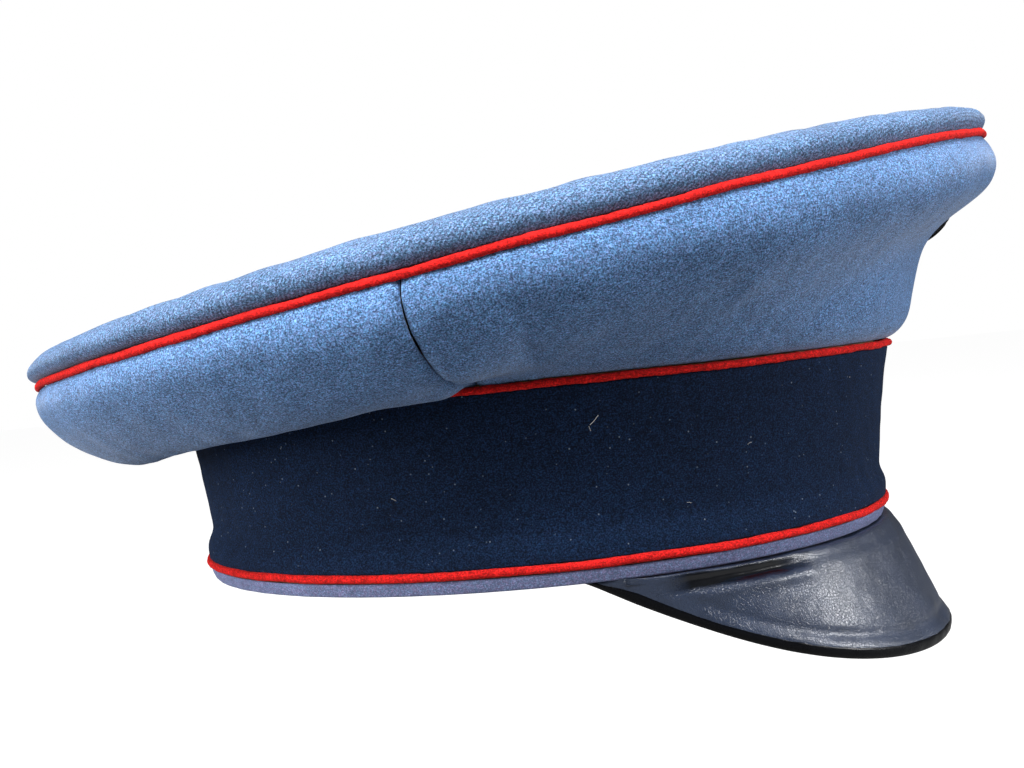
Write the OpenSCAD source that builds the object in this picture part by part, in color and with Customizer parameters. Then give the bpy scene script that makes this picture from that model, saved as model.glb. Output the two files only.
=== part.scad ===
// Military peaked cap: a stiff upright band, a wide raked cloth crown and a front peak.
// Millimetres. +X points forward, +Y to the wearer's left, +Z up.
// The origin is the centre of the head opening, level with the band's lower edge.
// Angles run round the cap from the centre front, so 90 is the wearer's left.

/* [Band] */
// Length of the band's outside, front to back, at its lower edge
band_length = 203.2; // [190:0.2:215]
// Width of the band as a share of its length
band_ratio = 0.837; // [0.8:0.001:0.88]
// Height of the upper piping above the lower edge
band_height = 50.6; // [44:0.2:56]
// Growth of the half length from the lower edge to the upper piping
band_spread = 6.2; // [2:0.1:8]
// Forward shift of the band's centre at its lower edge
band_shift = 0.9; // [0:0.1:3]
// Extra forward shift gained up to the upper piping
band_lean = 1.4; // [0:0.1:3]
// How far the cloth is pushed out where it covers the lower piping's seam
lip_out = 2.6; // [1:0.1:3]
// Height of the lower piping
lip_height = 5; // [4.6:0.1:6]
// Height over which the cloth comes back to the wall above the lower piping
lip_spread = 7.5; // [5:0.1:9]

/* [Crown] */
// Length of the crown along its widest seam, front to back
crown_length = 286.6; // [270:0.2:300]
// Width of the crown as a share of its length
crown_ratio = 0.885; // [0.86:0.001:0.92]
// Height of the welt seam over the origin
welt_height = 83.7; // [78:0.1:90]
// Rake of the crown, front up, in degrees
crown_rake = 9.34; // [7:0.01:11]
// Backward shift of the crown's centre
welt_shift = -2.75; // [-4:0.05:0]
// Rise of the welt seam at front and back over its sides
saddle = 1.16; // [0:0.02:2]
// Height of the rolled edge of the top panel over the welt seam
roll_height = 9.25; // [8.6:0.05:11]
// Mean outward swell of the rolled edge
roll_out = 3.4; // [2.6:0.1:4]
// Distance from the welt seam in to the flat of the top panel
roll_in = 6.8; // [6:0.1:9]
// Rise of the top panel's middle over its rim
top_dome = 1.5; // [0.5:0.1:3]
// Angle of the side seams from the centre front
seam_angle = 98.5; // [95:0.5:106]

/* [Peak] */
// Forward reach of the peak's rim from its two ends
peak_reach = 114.5; // [110:0.5:118]
// Drop of the rim's middle below the band
peak_drop = 33.5; // [30:0.5:38]
// Half width of the peak across its ends
peak_half = 87; // [86:0.1:88]
// Angle of the band, from the centre front, that the peak is sewn to on each side
peak_span = 80.3; // [79:0.1:81]
// Thickness of the peak's fibre and lacquered leather
peak_thick = 1.6; // [1.4:0.1:2]

/* [Materials] */
// Thickness of the crown's cloth
cloth = 1.3; // [1:0.05:1.4]
// Thickness of the band's cloth
band_cloth_thick = 1.2; // [0.9:0.05:1.25]
// Radius of the piping at the welt seam and at the lower edge
piping_r = 1.1; // [0.9:0.05:1.15]
// Radius of the piping at the top of the band
upper_piping_r = 1.0; // [0.8:0.05:1.05]
// Thickness of the band's stiffener
stiffener = 1.4; // [1:0.05:1.45]
// Thickness of the sweatband's leather
sweat_thick = 0.9; // [0.7:0.05:1]

/* [Cockade] */
// Outside radius of the cockade
cockade_r = 10; // [9:0.1:11]
// Height of its domed centre over the cloth
cockade_rise = 5.2; // [4.4:0.1:6]
// Share of the way up the crown's front at which it sits
cockade_at = 0.57; // [0.54:0.01:0.6]

/* [Hidden] */
// Steps round the cap
around = 64;
// Height of the seam between the band and the crown's sides
seam_z = band_height + 1.4;
// Slope of the raked crown
tilt = tan(crown_rake);
// Gap kept between neighbouring layers
gap = 0.3;
// Half the angle left open where two panels meet at a seam
seam_half = 0.08;
// Depths of the layers inside the band's outer face
stiff_at = band_cloth_thick + gap;
stay_at = stiff_at + stiffener + 0.2;
lining_at = stay_at + 0.9;
sweat_at = lining_at + 0.7;
lining_thick = 0.4;
// Half length and half width of the crown along the welt seam
crown_a = crown_length / 2;
crown_b = crown_a * crown_ratio;
// Shape of the crown's side from the band to the welt, as six control points for the
// front, the side and the rear: share of the way out, then height over the seam.
// The last height is not used, because the last point lies on the welt seam.
front_shape = [[0, 0], [0.5, 3.4], [0.115, 38.1], [0.36, 33.8], [1.46, 37.3], [1, 53.5]];
side_shape = [[0, 0], [0.2, 1.6], [0.42, 8.2], [0.8, 9.2], [1.16, 21.2], [1, 32]];
rear_shape = [[0, 0], [0.06, 12.6], [0.08, -30.6], [0.06, -24], [1.27, -4.1], [1, 10.5]];

// ---- Small helpers ----

// A vector at length one
function unit(v) = v / norm(v);

// The value a share s of the way from p to q
function mix(p, q, s) = p + (q - p) * s;

// Angles in equal steps round the whole cap
function round_angles(n) = [for (i = [0:n - 1]) i * 360 / n];

// Equal steps from p to q, both included
function steps(p, q, n) = [for (i = [0:n]) mix(p, q, i / n)];

// A list turned end for end
function flip(v) = [for (i = [len(v) - 1:-1:0]) v[i]];

// ---- Surfaces ----

// Half length and forward shift of the band at height z
function half_len(z) = band_length / 2 + band_spread * pow(max(z, 0) / band_height, 1.5);
function shift_x(z) = band_shift + band_lean * z / band_height;

// Outward push of the cloth over the lower piping's seam: a full shoulder above the
// piping and a quicker return below it
function flare(z) = let (d = z - lip_height)
    lip_out * (d > 0 ? exp(-pow(d / lip_spread, 4)) : exp(-pow(d / 6, 2)));

// Point on the band's plain wall at angle a and height z, moved outward by off
function wall(a, z, off = 0) = [
    shift_x(z) + (half_len(z) + off) * cos(a),
    (half_len(z) * band_ratio + off) * sin(a),
    z
];

// The same with the cloth's flare
function cloth_wall(a, z, off = 0) = wall(a, z, off + flare(z));

// Height of the crown's raked plane
function plane_z(x) = welt_height + tilt * x;

// Point on the welt seam, moved outward by off and upward by up
function welt(a, off = 0, up = 0) = let (x = welt_shift + (crown_a + off) * cos(a)) [
    x,
    (crown_b + off) * sin(a),
    plane_z(x) + up + saddle * cos(2 * a)
];

// How much of the front's and of the rear's shape the side has at angle a
function front_share(a) = cos(a) > 0 ? pow(cos(a), 1.75) : 0;
function rear_share(a) = cos(a) < 0 ? pow(-cos(a), 0.6) : 0;

// Control point k of the side's shape at angle a
function side_control(a, k) = let (f = front_share(a), r = rear_share(a))
    f * front_shape[k] + r * rear_shape[k] + (1 - f - r) * side_shape[k];

// Weight of control point k at share t
function bern(k, t) = [1, 5, 10, 10, 5, 1][k] * pow(t, k) * pow(1 - t, 5 - k);

// Sum of a list of pairs
function total(v, k = 0) = k >= len(v) ? [0, 0] : v[k] + total(v, k + 1);

// Outer face of the crown's side, from the band at t = 0 to the welt at t = 1
function side(a, t) = let (
    p = cloth_wall(a, seam_z),
    q = welt(a, 0, -1.4),
    last = [1, q.z - p.z],
    s = total([for (k = [0:5]) bern(k, t) * (k < 5 ? side_control(a, k) : last)])
) [mix(p.x, q.x, s[0]), mix(p.y, q.y, s[0]), p.z + s[1]];

// Outward direction of that face
function side_out(a, t) = unit(cross(
    side(a + 0.5, t) - side(a - 0.5, t),
    side(a, min(t + 0.01, 1)) - side(a, max(t - 0.01, 0))
));

// The face moved inward by depth
function side_in(a, t, depth) = side(a, t) - depth * side_out(a, t);

// Height of the top panel's rolled edge and its swell at angle a
function roll_h(a) = roll_height - 0.48 * cos(a) - 1.13 * cos(2 * a);
function roll_o(a) = roll_out - 2.4 * cos(a);

// Inset and height of the roll's four control points
function roll_control(a) = [
    [0, 1.4],
    [-roll_o(a), 3],
    [-roll_o(a), roll_h(a) - 1],
    [roll_in, roll_h(a)]
];
function cubic(p, t) = pow(1 - t, 3) * p[0] + 3 * t * pow(1 - t, 2) * p[1]
    + 3 * t * t * (1 - t) * p[2] + t * t * t * p[3];

// Outer face of the top panel: q runs 0 to 1 over the rolled edge, 1 to 2 over the flat
function top(a, q) = let (
    c = cubic(roll_control(a), min(q, 1)),
    f = max(q - 1, 0),
    x = welt_shift + (crown_a - c[0]) * cos(a) * (1 - f),
    y = (crown_b - c[0]) * sin(a) * (1 - f),
    lift = c[1] + top_dome * sin(90 * f) + (roll_height - roll_h(a)) * min(1, 1.5 * f)
) [x, y, plane_z(x) + lift + saddle * cos(2 * a) * pow(1 - f, 2)];

// Outward direction of that face
function top_out(a, q) = unit(cross(
    top(a + 0.5, q) - top(a - 0.5, q),
    top(a, q + 0.01) - top(a, max(q - 0.01, 0))
));
function top_in(a, q, depth) = top(a, q) - depth * top_out(a, q);

// Line of the peak's rim; p runs from -90 on the right to 90 on the left
function peak_rim(p) = [
    7 + peak_reach * pow(cos(p), 0.776),
    peak_half * sin(p) * (1 - 0.03 * pow(abs(sin(p)), 30)),
    -0.6 - peak_drop * pow(1 - pow(1 - cos(p), 2.1), 0.8)
];

// Line where the peak leaves the band
function peak_root(p) = cloth_wall(p * peak_span / 90, -0.35, 0.3);

// Length of the peak along its fall at p
function peak_fall(p) = norm(peak_rim(p) - peak_root(p));

// Raised bead along the rim and the crease inside it, at distance e from the rim
function bead(e) = 0.8 * exp(-pow((e - 3) / 2, 2)) - 0.5 * exp(-pow((e - 6.8) / 1.2, 2));

// Upper face of the peak: v runs from 0 at the rim to 1 at the band
function peak_base(p, v) = let (
    q = 1 - v,
    d = peak_rim(p) - peak_root(p),
    swell = 2.2 * sin(180 * pow(q, 0.37)) * min(1, norm(d) / 15)
) peak_root(p) + d * q + [cos(p), 0.8 * sin(p), 0.4] * swell;
function peak_out(p, v) = unit(cross(
    peak_base(p + 0.5, v) - peak_base(p - 0.5, v),
    peak_base(p, min(v + 0.02, 1)) - peak_base(p, max(v - 0.02, 0))
));
function peak(p, v, off = 0) = peak_base(p, v)
    + peak_out(p, v) * (off + bead(v * peak_fall(p)) * min(1, peak_fall(p) / 30));

// Under face of the peak: square under the upper face, turning in and down at the band,
// where it runs on as the flange. The turn is longer towards the two ends.
function peak_under(p, v) = let (
    a = p * peak_span / 90,
    turn = pow(v, 1 + 15 * pow(cos(p), 1.5))
) peak(p, v) - peak_thick * mix(peak_out(p, v), [cos(a), sin(a), 1], turn);

// ---- Solids from sections ----

// A closed solid through a list of closed sections. Each section runs up the outer
// face and back down the inner face. wrap joins the last section to the first.
module sweep(sections, wrap) {
    m = len(sections);
    n = len(sections[0]);
    last = wrap ? m - 1 : m - 2;
    skin = [
        for (i = [0:last]) for (j = [0:n - 1]) let (
            a = i * n + j,
            b = (i + 1) % m * n + j,
            c = (i + 1) % m * n + (j + 1) % n,
            d = i * n + (j + 1) % n
        ) each [[a, d, c], [a, c, b]]
    ];
    e = (m - 1) * n;
    ends = wrap ? [] : [
        for (j = [0:n / 2 - 2]) each [
            [j, n - 1 - j, n - 2 - j],
            [j, n - 2 - j, j + 1],
            [e + j, e + n - 2 - j, e + n - 1 - j],
            [e + j, e + j + 1, e + n - 2 - j]
        ]
    ];
    polyhedron(points = [for (s = sections) each s], faces = concat(skin, ends));
}

// A closed dish: rings of points for its upper and lower faces, and a tip for each
module dish(upper, lower, upper_tip, lower_tip) {
    n = len(upper[0]);
    k = len(upper);
    base = k * n;
    tip = 2 * k * n;
    up = [
        for (i = [0:k - 2]) for (j = [0:n - 1]) let (b = (j + 1) % n) each [
            [i * n + j, (i + 1) * n + j, (i + 1) * n + b],
            [i * n + j, (i + 1) * n + b, i * n + b]
        ]
    ];
    down = [for (f = up) [base + f[0], base + f[2], base + f[1]]];
    rim = [
        for (j = [0:n - 1]) let (b = (j + 1) % n) each [
            [j, b, base + b],
            [j, base + b, base + j]
        ]
    ];
    tips = [
        for (j = [0:n - 1]) let (b = (j + 1) % n) each [
            [base - n + j, tip, base - n + b],
            [2 * base - n + j, 2 * base - n + b, tip + 1]
        ]
    ];
    polyhedron(
        points = concat([for (s = upper) each s], [for (s = lower) each s], [upper_tip, lower_tip]),
        faces = concat(up, down, rim, tips)
    );
}

// Ring of points of radius r round point c, across the direction dir
function hoop(c, dir, r, sides, squash = 1) = let (
    out = unit(cross(dir, [0, 0, 1])),
    up = cross(out, dir)
) [for (k = [0:sides - 1]) let (w = k * 360 / sides - 90)
    c + r * cos(w) * out + r * squash * sin(w) * up];

// A round cord along a closed line
module cord(line, r, sides = 8, squash = 1) {
    n = len(line);
    sweep([
        for (i = [0:n - 1]) hoop(line[i], unit(line[(i + 1) % n] - line[(i + n - 1) % n]), r, sides, squash)
    ], true);
}

// A round cord along an open line
module open_cord(line, r, sides = 8) {
    n = len(line) - 1;
    sweep([
        for (i = [0:n]) hoop(line[i], unit(line[min(i + 1, n)] - line[max(i - 1, 0)]), r, sides)
    ], false);
}

// A layer of the band from depth d to depth d + thick, over a list of heights
module band_layer(heights, d, thick, angles, wrap) {
    sweep([
        for (a = angles) concat(
            [for (z = heights) wall(a, z, -d)],
            [for (z = flip(heights)) wall(a, z, -d - thick)]
        )
    ], wrap);
}

// A layer of the crown's side from depth d to depth d + thick
module side_layer(from, to, count, shares, d, thick) {
    sweep([
        for (a = steps(from, to, count)) concat(
            [for (t = shares) side_in(a, t, d)],
            [for (t = flip(shares)) side_in(a, t, d + thick)]
        )
    ], false);
}

// ---- Crown ----

// Oval cloth top with its rolled edge
module crown_top_panel() color([0.36, 0.45, 0.6]) {
    rows = [0, 0.15, 0.3, 0.45, 0.6, 0.8, 1, 1.3, 1.65];
    angles = round_angles(around);
    dish(
        [for (q = rows) [for (a = angles) top(a, q)]],
        [for (q = rows) [for (a = angles) top_in(a, q, cloth)]],
        top(0, 2),
        top(0, 2) - [0, 0, cloth]
    );
}

// Canvas that keeps the top panel flat
module crown_top_interlining() color([0.78, 0.74, 0.62]) {
    rows = [1.06, 1.35, 1.7];
    angles = round_angles(around / 2);
    drop = cloth + gap;
    dish(
        [for (q = rows) [for (a = angles) top(a, q) - [0, 0, drop]]],
        [for (q = rows) [for (a = angles) top(a, q) - [0, 0, drop + 0.6]]],
        top(0, 2) - [0, 0, drop],
        top(0, 2) - [0, 0, drop + 0.6]
    );
}

// One side panel of the crown between two seams
side_rows = [0, 0.04, 0.1, 0.18, 0.28, 0.38, 0.48, 0.58, 0.68, 0.78, 0.87, 0.94, 1];
module crown_quarter(from, to, count) {
    side_layer(from + seam_half, to - seam_half, count, side_rows, 0, cloth);
}

// The front panels have a slit for the cockade's prong
module crown_quarter_front_left() color([0.33, 0.43, 0.58]) {
    difference() {
        crown_quarter(0, seam_angle, 18);
        prong_slit(1);
    }
}

module crown_quarter_front_right() color([0.33, 0.43, 0.58]) {
    difference() {
        crown_quarter(-seam_angle, 0, 18);
        prong_slit(-1);
    }
}

module crown_quarter_rear_left() color([0.33, 0.43, 0.58]) {
    crown_quarter(seam_angle, 180, 14);
}

module crown_quarter_rear_right() color([0.33, 0.43, 0.58]) {
    crown_quarter(-180, -seam_angle, 14);
}

// Stiff canvas behind the front of the crown
module crown_front_interlining() color([0.78, 0.74, 0.62]) {
    difference() {
        side_layer(-56, 56, 16, [0.08, 0.2, 0.32, 0.45, 0.58, 0.7, 0.82, 0.92], cloth + gap, 0.7);
        prong_slit(1);
        prong_slit(-1);
    }
}

// Piping in the seam between the top panel and the sides
module crown_welt_piping() color([0.86, 0.1, 0.08]) {
    cord([for (a = round_angles(around)) welt(a, 0.3)], piping_r);
}

// Spring wire hoop that spreads the crown, with its ends meeting at the back
hoop_inset = 4.5;
module crown_hoop_wire() color([0.6, 0.61, 0.63]) {
    open_cord([for (a = steps(-179.2, 179.2, around)) welt(a, -hoop_inset)], 0.9, 6);
}

// Sleeve over the two ends of the wire
module crown_hoop_ferrule() color([0.72, 0.6, 0.35]) {
    translate(welt(180, -hoop_inset)) rotate([90, 0, 0]) difference() {
        cylinder(h = 14, r = 1.8, center = true, $fn = 48);
        cylinder(h = 15, r = 1.25, center = true, $fn = 48);
    }
}

// Wadding that rounds the crown's rim over the wire
module crown_hoop_padding() color([0.88, 0.86, 0.8]) {
    cord([for (a = round_angles(around)) welt(a, -5.2, 3.2)], 2.5, 8, 0.7);
}

// Flat spring that holds the front of the crown up
module front_stay() color([0.55, 0.56, 0.58]) {
    thick = 0.5;
    line = concat(
        [for (z = [22, 36, 49]) wall(0, z, -stay_at)],
        [for (t = [0.12, 0.24, 0.36, 0.48, 0.6, 0.72, 0.84, 0.93]) side_in(0, t, cloth + 1.3)]
    );
    back = concat(
        [for (z = [22, 36, 49]) wall(0, z, -stay_at - thick)],
        [for (t = [0.12, 0.24, 0.36, 0.48, 0.6, 0.72, 0.84, 0.93]) side_in(0, t, cloth + 1.3 + thick)]
    );
    sweep([
        for (y = [-4, 4]) concat(
            [for (v = line) v + [0, y, 0]],
            [for (v = flip(back)) v + [0, y, 0]]
        )
    ], false);
}

// ---- Band ----

// Dark cloth round the band, pushed out over the lower piping's seam
module band_cloth() color([0.09, 0.13, 0.22]) {
    heights = [lip_height + 1.4, 8.4, 10, 11.5, 13, 16, 26, 38, band_height - 1.35];
    sweep([
        for (a = round_angles(around)) concat(
            [for (z = heights) cloth_wall(a, z)],
            [for (z = flip(heights)) cloth_wall(a, z, -band_cloth_thick)]
        )
    ], true);
}

// Piping at the top of the band
module band_upper_piping() color([0.86, 0.1, 0.08]) {
    cord([for (a = round_angles(around)) wall(a, band_height, 0.1)], upper_piping_r);
}

// Piping near the lower edge
module band_lower_piping() color([0.86, 0.1, 0.08]) {
    cord([for (a = round_angles(around)) cloth_wall(a, lip_height, -0.2)], piping_r);
}

// Cloth strip folded round the lower edge, over the foot of the stiffener
module band_edge_binding() color([0.42, 0.45, 0.58]) {
    top_z = lip_height - 1.4;
    leg = stiff_at + stiffener + 0.4;
    sweep([
        for (a = round_angles(around)) [
            wall(a, 0, flare(0) - 0.4),
            wall(a, 0.7, flare(0.7)),
            wall(a, top_z, flare(top_z)),
            wall(a, top_z, flare(top_z) - 0.8),
            wall(a, 0.8, -0.6),
            wall(a, 0.8, -leg),
            wall(a, 3, -leg),
            wall(a, 3, -leg - 0.7),
            wall(a, 0.5, -leg - 0.7),
            wall(a, 0, -leg - 0.3)
        ]
    ], true);
}

// Board that gives the band its shape
module band_stiffener() color([0.66, 0.58, 0.44]) {
    band_layer([1.2, 17, 33, band_height - 0.6], stiff_at, stiffener, round_angles(around), true);
}

// ---- Inside ----

// Leather band against the head, its ends meeting at the back
module sweatband() color([0.62, 0.42, 0.26]) {
    band_layer([2, 14, 26, 38], sweat_at, sweat_thick, steps(-179.1, 179.1, around), false);
}

// Thin reed in the sweatband's lower edge
module sweatband_reed() color([0.8, 0.76, 0.66]) {
    open_cord([for (a = steps(-179, 179, around)) wall(a, 1.1, -sweat_at - sweat_thick / 2)], 0.6, 6);
}

// Leather tab behind the meeting ends
module sweatband_rear_tab() color([0.5, 0.33, 0.2]) {
    band_layer([5, 16, 28], lining_at, 0.4, steps(174, 186, 4), false);
}

// Point on the lining's outer face; k runs 0 at the band to 1 at the top piece
function lining(a, k, off = 0) = let (
    p = wall(a, band_height, off - lining_at),
    x = p.x * 0.93,
    q = [x, p.y * 0.93, plane_z(x) - 3.2]
) mix(p, q, k);

// Half of the lining's side, from under the sweatband to the top piece
module lining_half(from, to) {
    heights = [30, 40];
    shares = [0, 0.5, 1];
    sweep([
        for (a = steps(from + seam_half, to - seam_half, around / 2)) concat(
            [for (z = heights) wall(a, z, -lining_at)],
            [for (k = shares) lining(a, k)],
            [for (k = flip(shares)) lining(a, k, -lining_thick)],
            [for (z = flip(heights)) wall(a, z, -lining_at - lining_thick)]
        )
    ], false);
}

module lining_side_left() color([0.72, 0.62, 0.42]) {
    lining_half(0, 180);
}

module lining_side_right() color([0.72, 0.62, 0.42]) {
    lining_half(-180, 0);
}

// Point of the lining's top at share f from the rim to the middle, with its slight dome
function ceiling(a, f, drop = 0) = let (
    e = lining(a, 1),
    c = shift_x(band_height) * 0.93,
    x = mix(e.x, c, f)
) [x, e.y * (1 - f), plane_z(x) - 2.4 + 4 * (1 - pow(1 - f, 2)) - drop];

// Top piece of the lining
module lining_top() color([0.72, 0.62, 0.42]) {
    rows = [0, 0.35, 0.7];
    angles = round_angles(around / 2);
    dish(
        [for (f = rows) [for (a = angles) ceiling(a, f)]],
        [for (f = rows) [for (a = angles) ceiling(a, f, lining_thick)]],
        ceiling(0, 1),
        ceiling(0, 1, lining_thick)
    );
}

// Clear oval shield under the lining's top
module sweat_shield() color([0.85, 0.83, 0.72, 0.5]) {
    rows = [0.42, 0.6, 0.8];
    angles = round_angles(around / 2);
    drop = lining_thick + 0.5;
    dish(
        [for (f = rows) [for (a = angles) ceiling(a, f, drop)]],
        [for (f = rows) [for (a = angles) ceiling(a, f, drop + 0.4)]],
        ceiling(0, 1, drop),
        ceiling(0, 1, drop + 0.4)
    );
}

// ---- Peak ----

// Share of the peak's fall taken up by a distance e from the rim at p
function from_rim(p, e) = e / peak_fall(p);

// Rows of the peak between two distances from the rim and the band
function peak_rows(p, e) = let (s = from_rim(p, e)) [
    for (k = [0, 0.09, 0.18, 0.27, 0.4, 0.55, 0.7, 0.84, 0.93, 0.98, 1]) mix(s, 1, k)
];

// Places along the peak, closer together towards its two ends
function peak_places(end, n) = [for (w = steps(-90, 90, n)) end * sin(w)];

// Lacquered peak with its flange under the band's edge
peak_end = 87;
module peak_shell() color([0.1, 0.11, 0.13]) {
    sweep([
        for (p = peak_places(peak_end, 52)) let (
            rows = peak_rows(p, 2.5),
            root = cloth_wall(p * peak_span / 90, -0.35, -3.4)
        ) concat(
            [for (v = rows) peak(p, v)],
            [root],
            [root - [0, 0, peak_thick]],
            [for (v = flip(rows)) peak_under(p, v)]
        )
    ], false);
}

// Smooth leather on the peak's underside
module peak_lining() color([0.2, 0.17, 0.13]) {
    d = peak_thick + 0.2;
    sweep([
        for (p = steps(-peak_end + 4, peak_end - 4, 36)) let (s = from_rim(p, 3.2)) concat(
            [for (k = [0, 0.3, 0.65, 1]) peak(p, mix(s, 0.86, k), -d)],
            [for (k = [1, 0.65, 0.3, 0]) peak(p, mix(s, 0.86, k), -d - 0.6)]
        )
    ], false);
}

// Narrow rolled edge of the peak, running on to the band at both ends
rim_r = 1.1;
rim_end = 89.3;
module peak_rim_binding() color([0.05, 0.05, 0.06]) {
    open_cord([
        for (p = peak_places(rim_end, 56)) peak(p, from_rim(p, rim_r), -0.75)
    ], rim_r);
}

// ---- Cockade ----

// Moves its children to the cockade's seat: local Z points out of the cloth
module at_cockade() {
    c = side(0, cockade_at);
    n = side_out(0, cockade_at);
    translate(c) rotate([0, atan2(n.x, n.z), 0]) children();
}

// Ring with a plain notched rim
module cockade_ring() color([0.05, 0.05, 0.05]) {
    at_cockade() difference() {
        rotate_extrude($fn = 64) polygon([
            [5.4, 0.7],
            [cockade_r - 0.6, 0.7],
            [cockade_r, 1.2],
            [cockade_r - 0.4, 2.2],
            [5.4, cockade_rise - 1.1]
        ]);
        for (k = [0:23]) rotate([0, 0, k * 15 + 7.5]) translate([cockade_r, 0, 0]) {
            cylinder(h = 8, r = 0.5, center = true, $fn = 16);
        }
    }
}

// Domed centre
module cockade_centre() color([0.06, 0.06, 0.06]) {
    at_cockade() rotate_extrude($fn = 48) polygon([
        [0, 1],
        [5.2, 1],
        [5.2, cockade_rise - 1.2],
        [4.4, cockade_rise - 0.5],
        [2.6, cockade_rise - 0.1],
        [0, cockade_rise]
    ]);
}

// One prong: a straight leg through the cloth and a foot bent away behind it
prong_y = 7.2;
module prong(side) {
    depth = cloth + 1.3;
    translate([-1.2, side * prong_y - 0.2, -depth - 0.6]) cube([2.4, 0.4, depth + 1.1]);
    translate([-1.2, side > 0 ? prong_y - 0.2 : -prong_y - 4.8, -depth - 1]) cube([2.4, 5, 0.4]);
}

module cockade_prongs() color([0.75, 0.62, 0.36]) {
    at_cockade() {
        prong(1);
        prong(-1);
    }
}

// Slit that a prong passes through
module prong_slit(side) {
    at_cockade() translate([-1.5, side * prong_y - 0.5, -8]) cube([3, 1, 16]);
}

crown_top_panel();
crown_top_interlining();
crown_quarter_front_left();
crown_quarter_front_right();
crown_quarter_rear_left();
crown_quarter_rear_right();
crown_front_interlining();
crown_welt_piping();
crown_hoop_wire();
crown_hoop_ferrule();
crown_hoop_padding();
front_stay();
band_cloth();
band_upper_piping();
band_lower_piping();
band_edge_binding();
band_stiffener();
sweatband();
sweatband_reed();
sweatband_rear_tab();
lining_side_left();
lining_side_right();
lining_top();
sweat_shield();
peak_shell();
peak_lining();
peak_rim_binding();
cockade_ring();
cockade_centre();
cockade_prongs();
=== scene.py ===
"""Looks of the military peaked cap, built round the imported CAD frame.

Millimetres inside the shape functions, metres in the meshes. +X is the front, +Y the
wearer's left, +Z up. Angles run round the cap from the centre front, in degrees.
"""

import math

import bpy
import numpy as np
from mathutils import Matrix, Vector


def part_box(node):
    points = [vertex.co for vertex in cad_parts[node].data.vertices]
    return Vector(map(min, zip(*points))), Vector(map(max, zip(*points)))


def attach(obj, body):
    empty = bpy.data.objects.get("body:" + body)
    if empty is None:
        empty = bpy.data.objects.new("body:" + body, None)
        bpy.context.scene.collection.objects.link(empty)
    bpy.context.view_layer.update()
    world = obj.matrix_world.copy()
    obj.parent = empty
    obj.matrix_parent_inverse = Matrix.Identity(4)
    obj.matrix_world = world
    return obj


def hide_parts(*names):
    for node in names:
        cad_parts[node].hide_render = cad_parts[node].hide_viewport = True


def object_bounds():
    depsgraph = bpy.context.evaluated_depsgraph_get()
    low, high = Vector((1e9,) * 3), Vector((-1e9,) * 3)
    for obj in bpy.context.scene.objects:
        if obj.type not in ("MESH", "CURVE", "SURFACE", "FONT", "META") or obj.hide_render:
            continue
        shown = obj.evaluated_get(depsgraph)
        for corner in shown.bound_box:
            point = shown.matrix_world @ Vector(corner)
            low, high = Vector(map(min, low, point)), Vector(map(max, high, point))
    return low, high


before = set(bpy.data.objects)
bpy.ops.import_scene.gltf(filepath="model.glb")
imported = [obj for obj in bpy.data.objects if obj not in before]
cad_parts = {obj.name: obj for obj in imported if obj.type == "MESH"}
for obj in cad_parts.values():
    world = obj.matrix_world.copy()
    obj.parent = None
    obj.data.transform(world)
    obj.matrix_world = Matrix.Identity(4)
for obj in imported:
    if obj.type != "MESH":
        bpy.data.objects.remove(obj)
cad_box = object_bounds()
MM = 0.001


# ---- Sizes read from the CAD nodes ----

def extent(node):
    """Middle and half size of a CAD node, in millimetres."""
    low, high = (np.array(corner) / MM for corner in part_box(node))
    return (high + low) / 2, (high - low) / 2


# How far each piping's cord lies outside its seam in the CAD model
UPPER_OUT, LOWER_OUT, WELT_OUT = 0.1, -0.2, 0.3
# The cloth's push outward over the lower piping, and its reach above and below it
LIP_OUT, LIP_SPREAD, LIP_UNDER = 2.6, 7.5, 6.0
SADDLE = 1.16

middle, half = extent("band_upper_piping")
UPPER_R = half[2]
BAND_TOP = middle[2]
SHIFT_TOP = middle[0]
HALF_TOP = half[0] - UPPER_R - UPPER_OUT
RATIO = (half[1] - UPPER_R - UPPER_OUT) / HALF_TOP

middle, half = extent("band_lower_piping")
LOWER_R = half[2]
LIP_Z = middle[2]
LIP_SHARE = LIP_Z / BAND_TOP
HALF_LOW = half[0] - LOWER_R - LOWER_OUT - LIP_OUT
SPREAD = (HALF_TOP - HALF_LOW) / (1 - LIP_SHARE ** 1.5)
HALF_BASE = HALF_TOP - SPREAD
LEAN = (SHIFT_TOP - middle[0]) / (1 - LIP_SHARE)
SHIFT_BASE = SHIFT_TOP - LEAN

middle, half = extent("crown_welt_piping")
CROWN_A = half[0] - WELT_OUT - LOWER_R
CROWN_B = half[1] - WELT_OUT - LOWER_R
CROWN_X = middle[0]
TILT = (half[2] - LOWER_R) / (CROWN_A + WELT_OUT)
WELT_Z = middle[2] - SADDLE - TILT * CROWN_X

# Height from the middle of a piping to the edge of the cloth beside it
EDGE_STEP = 1.4
SEAM_Z = BAND_TOP + EDGE_STEP
SEAM_ANGLE = 98.5
CLOTH = 1.3
BAND_CLOTH = 1.2
GAP = 0.3
STIFF_AT = BAND_CLOTH + GAP
BOARD_THICK = 1.4
LINING_AT = 4.0
SWEAT_AT = 4.7
SWEAT_THICK = 0.9
PEAK_THICK = 1.6

# Control points of the crown's side: share of the way out, height over the seam
FRONT_SHAPE = [[0, 0], [0.5, 3.4], [0.115, 38.1], [0.36, 33.8], [1.46, 37.3], [1, 53.5]]
SIDE_SHAPE = [[0, 0], [0.2, 1.6], [0.42, 8.2], [0.8, 9.2], [1.16, 21.2], [1, 32]]
REAR_SHAPE = [[0, 0], [0.06, 12.6], [0.08, -30.6], [0.06, -24], [1.27, -4.1], [1, 10.5]]


# ---- Surfaces, the same as the CAD model's ----

def cosd(a):
    return np.cos(np.radians(a))


def sind(a):
    return np.sin(np.radians(a))


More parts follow.
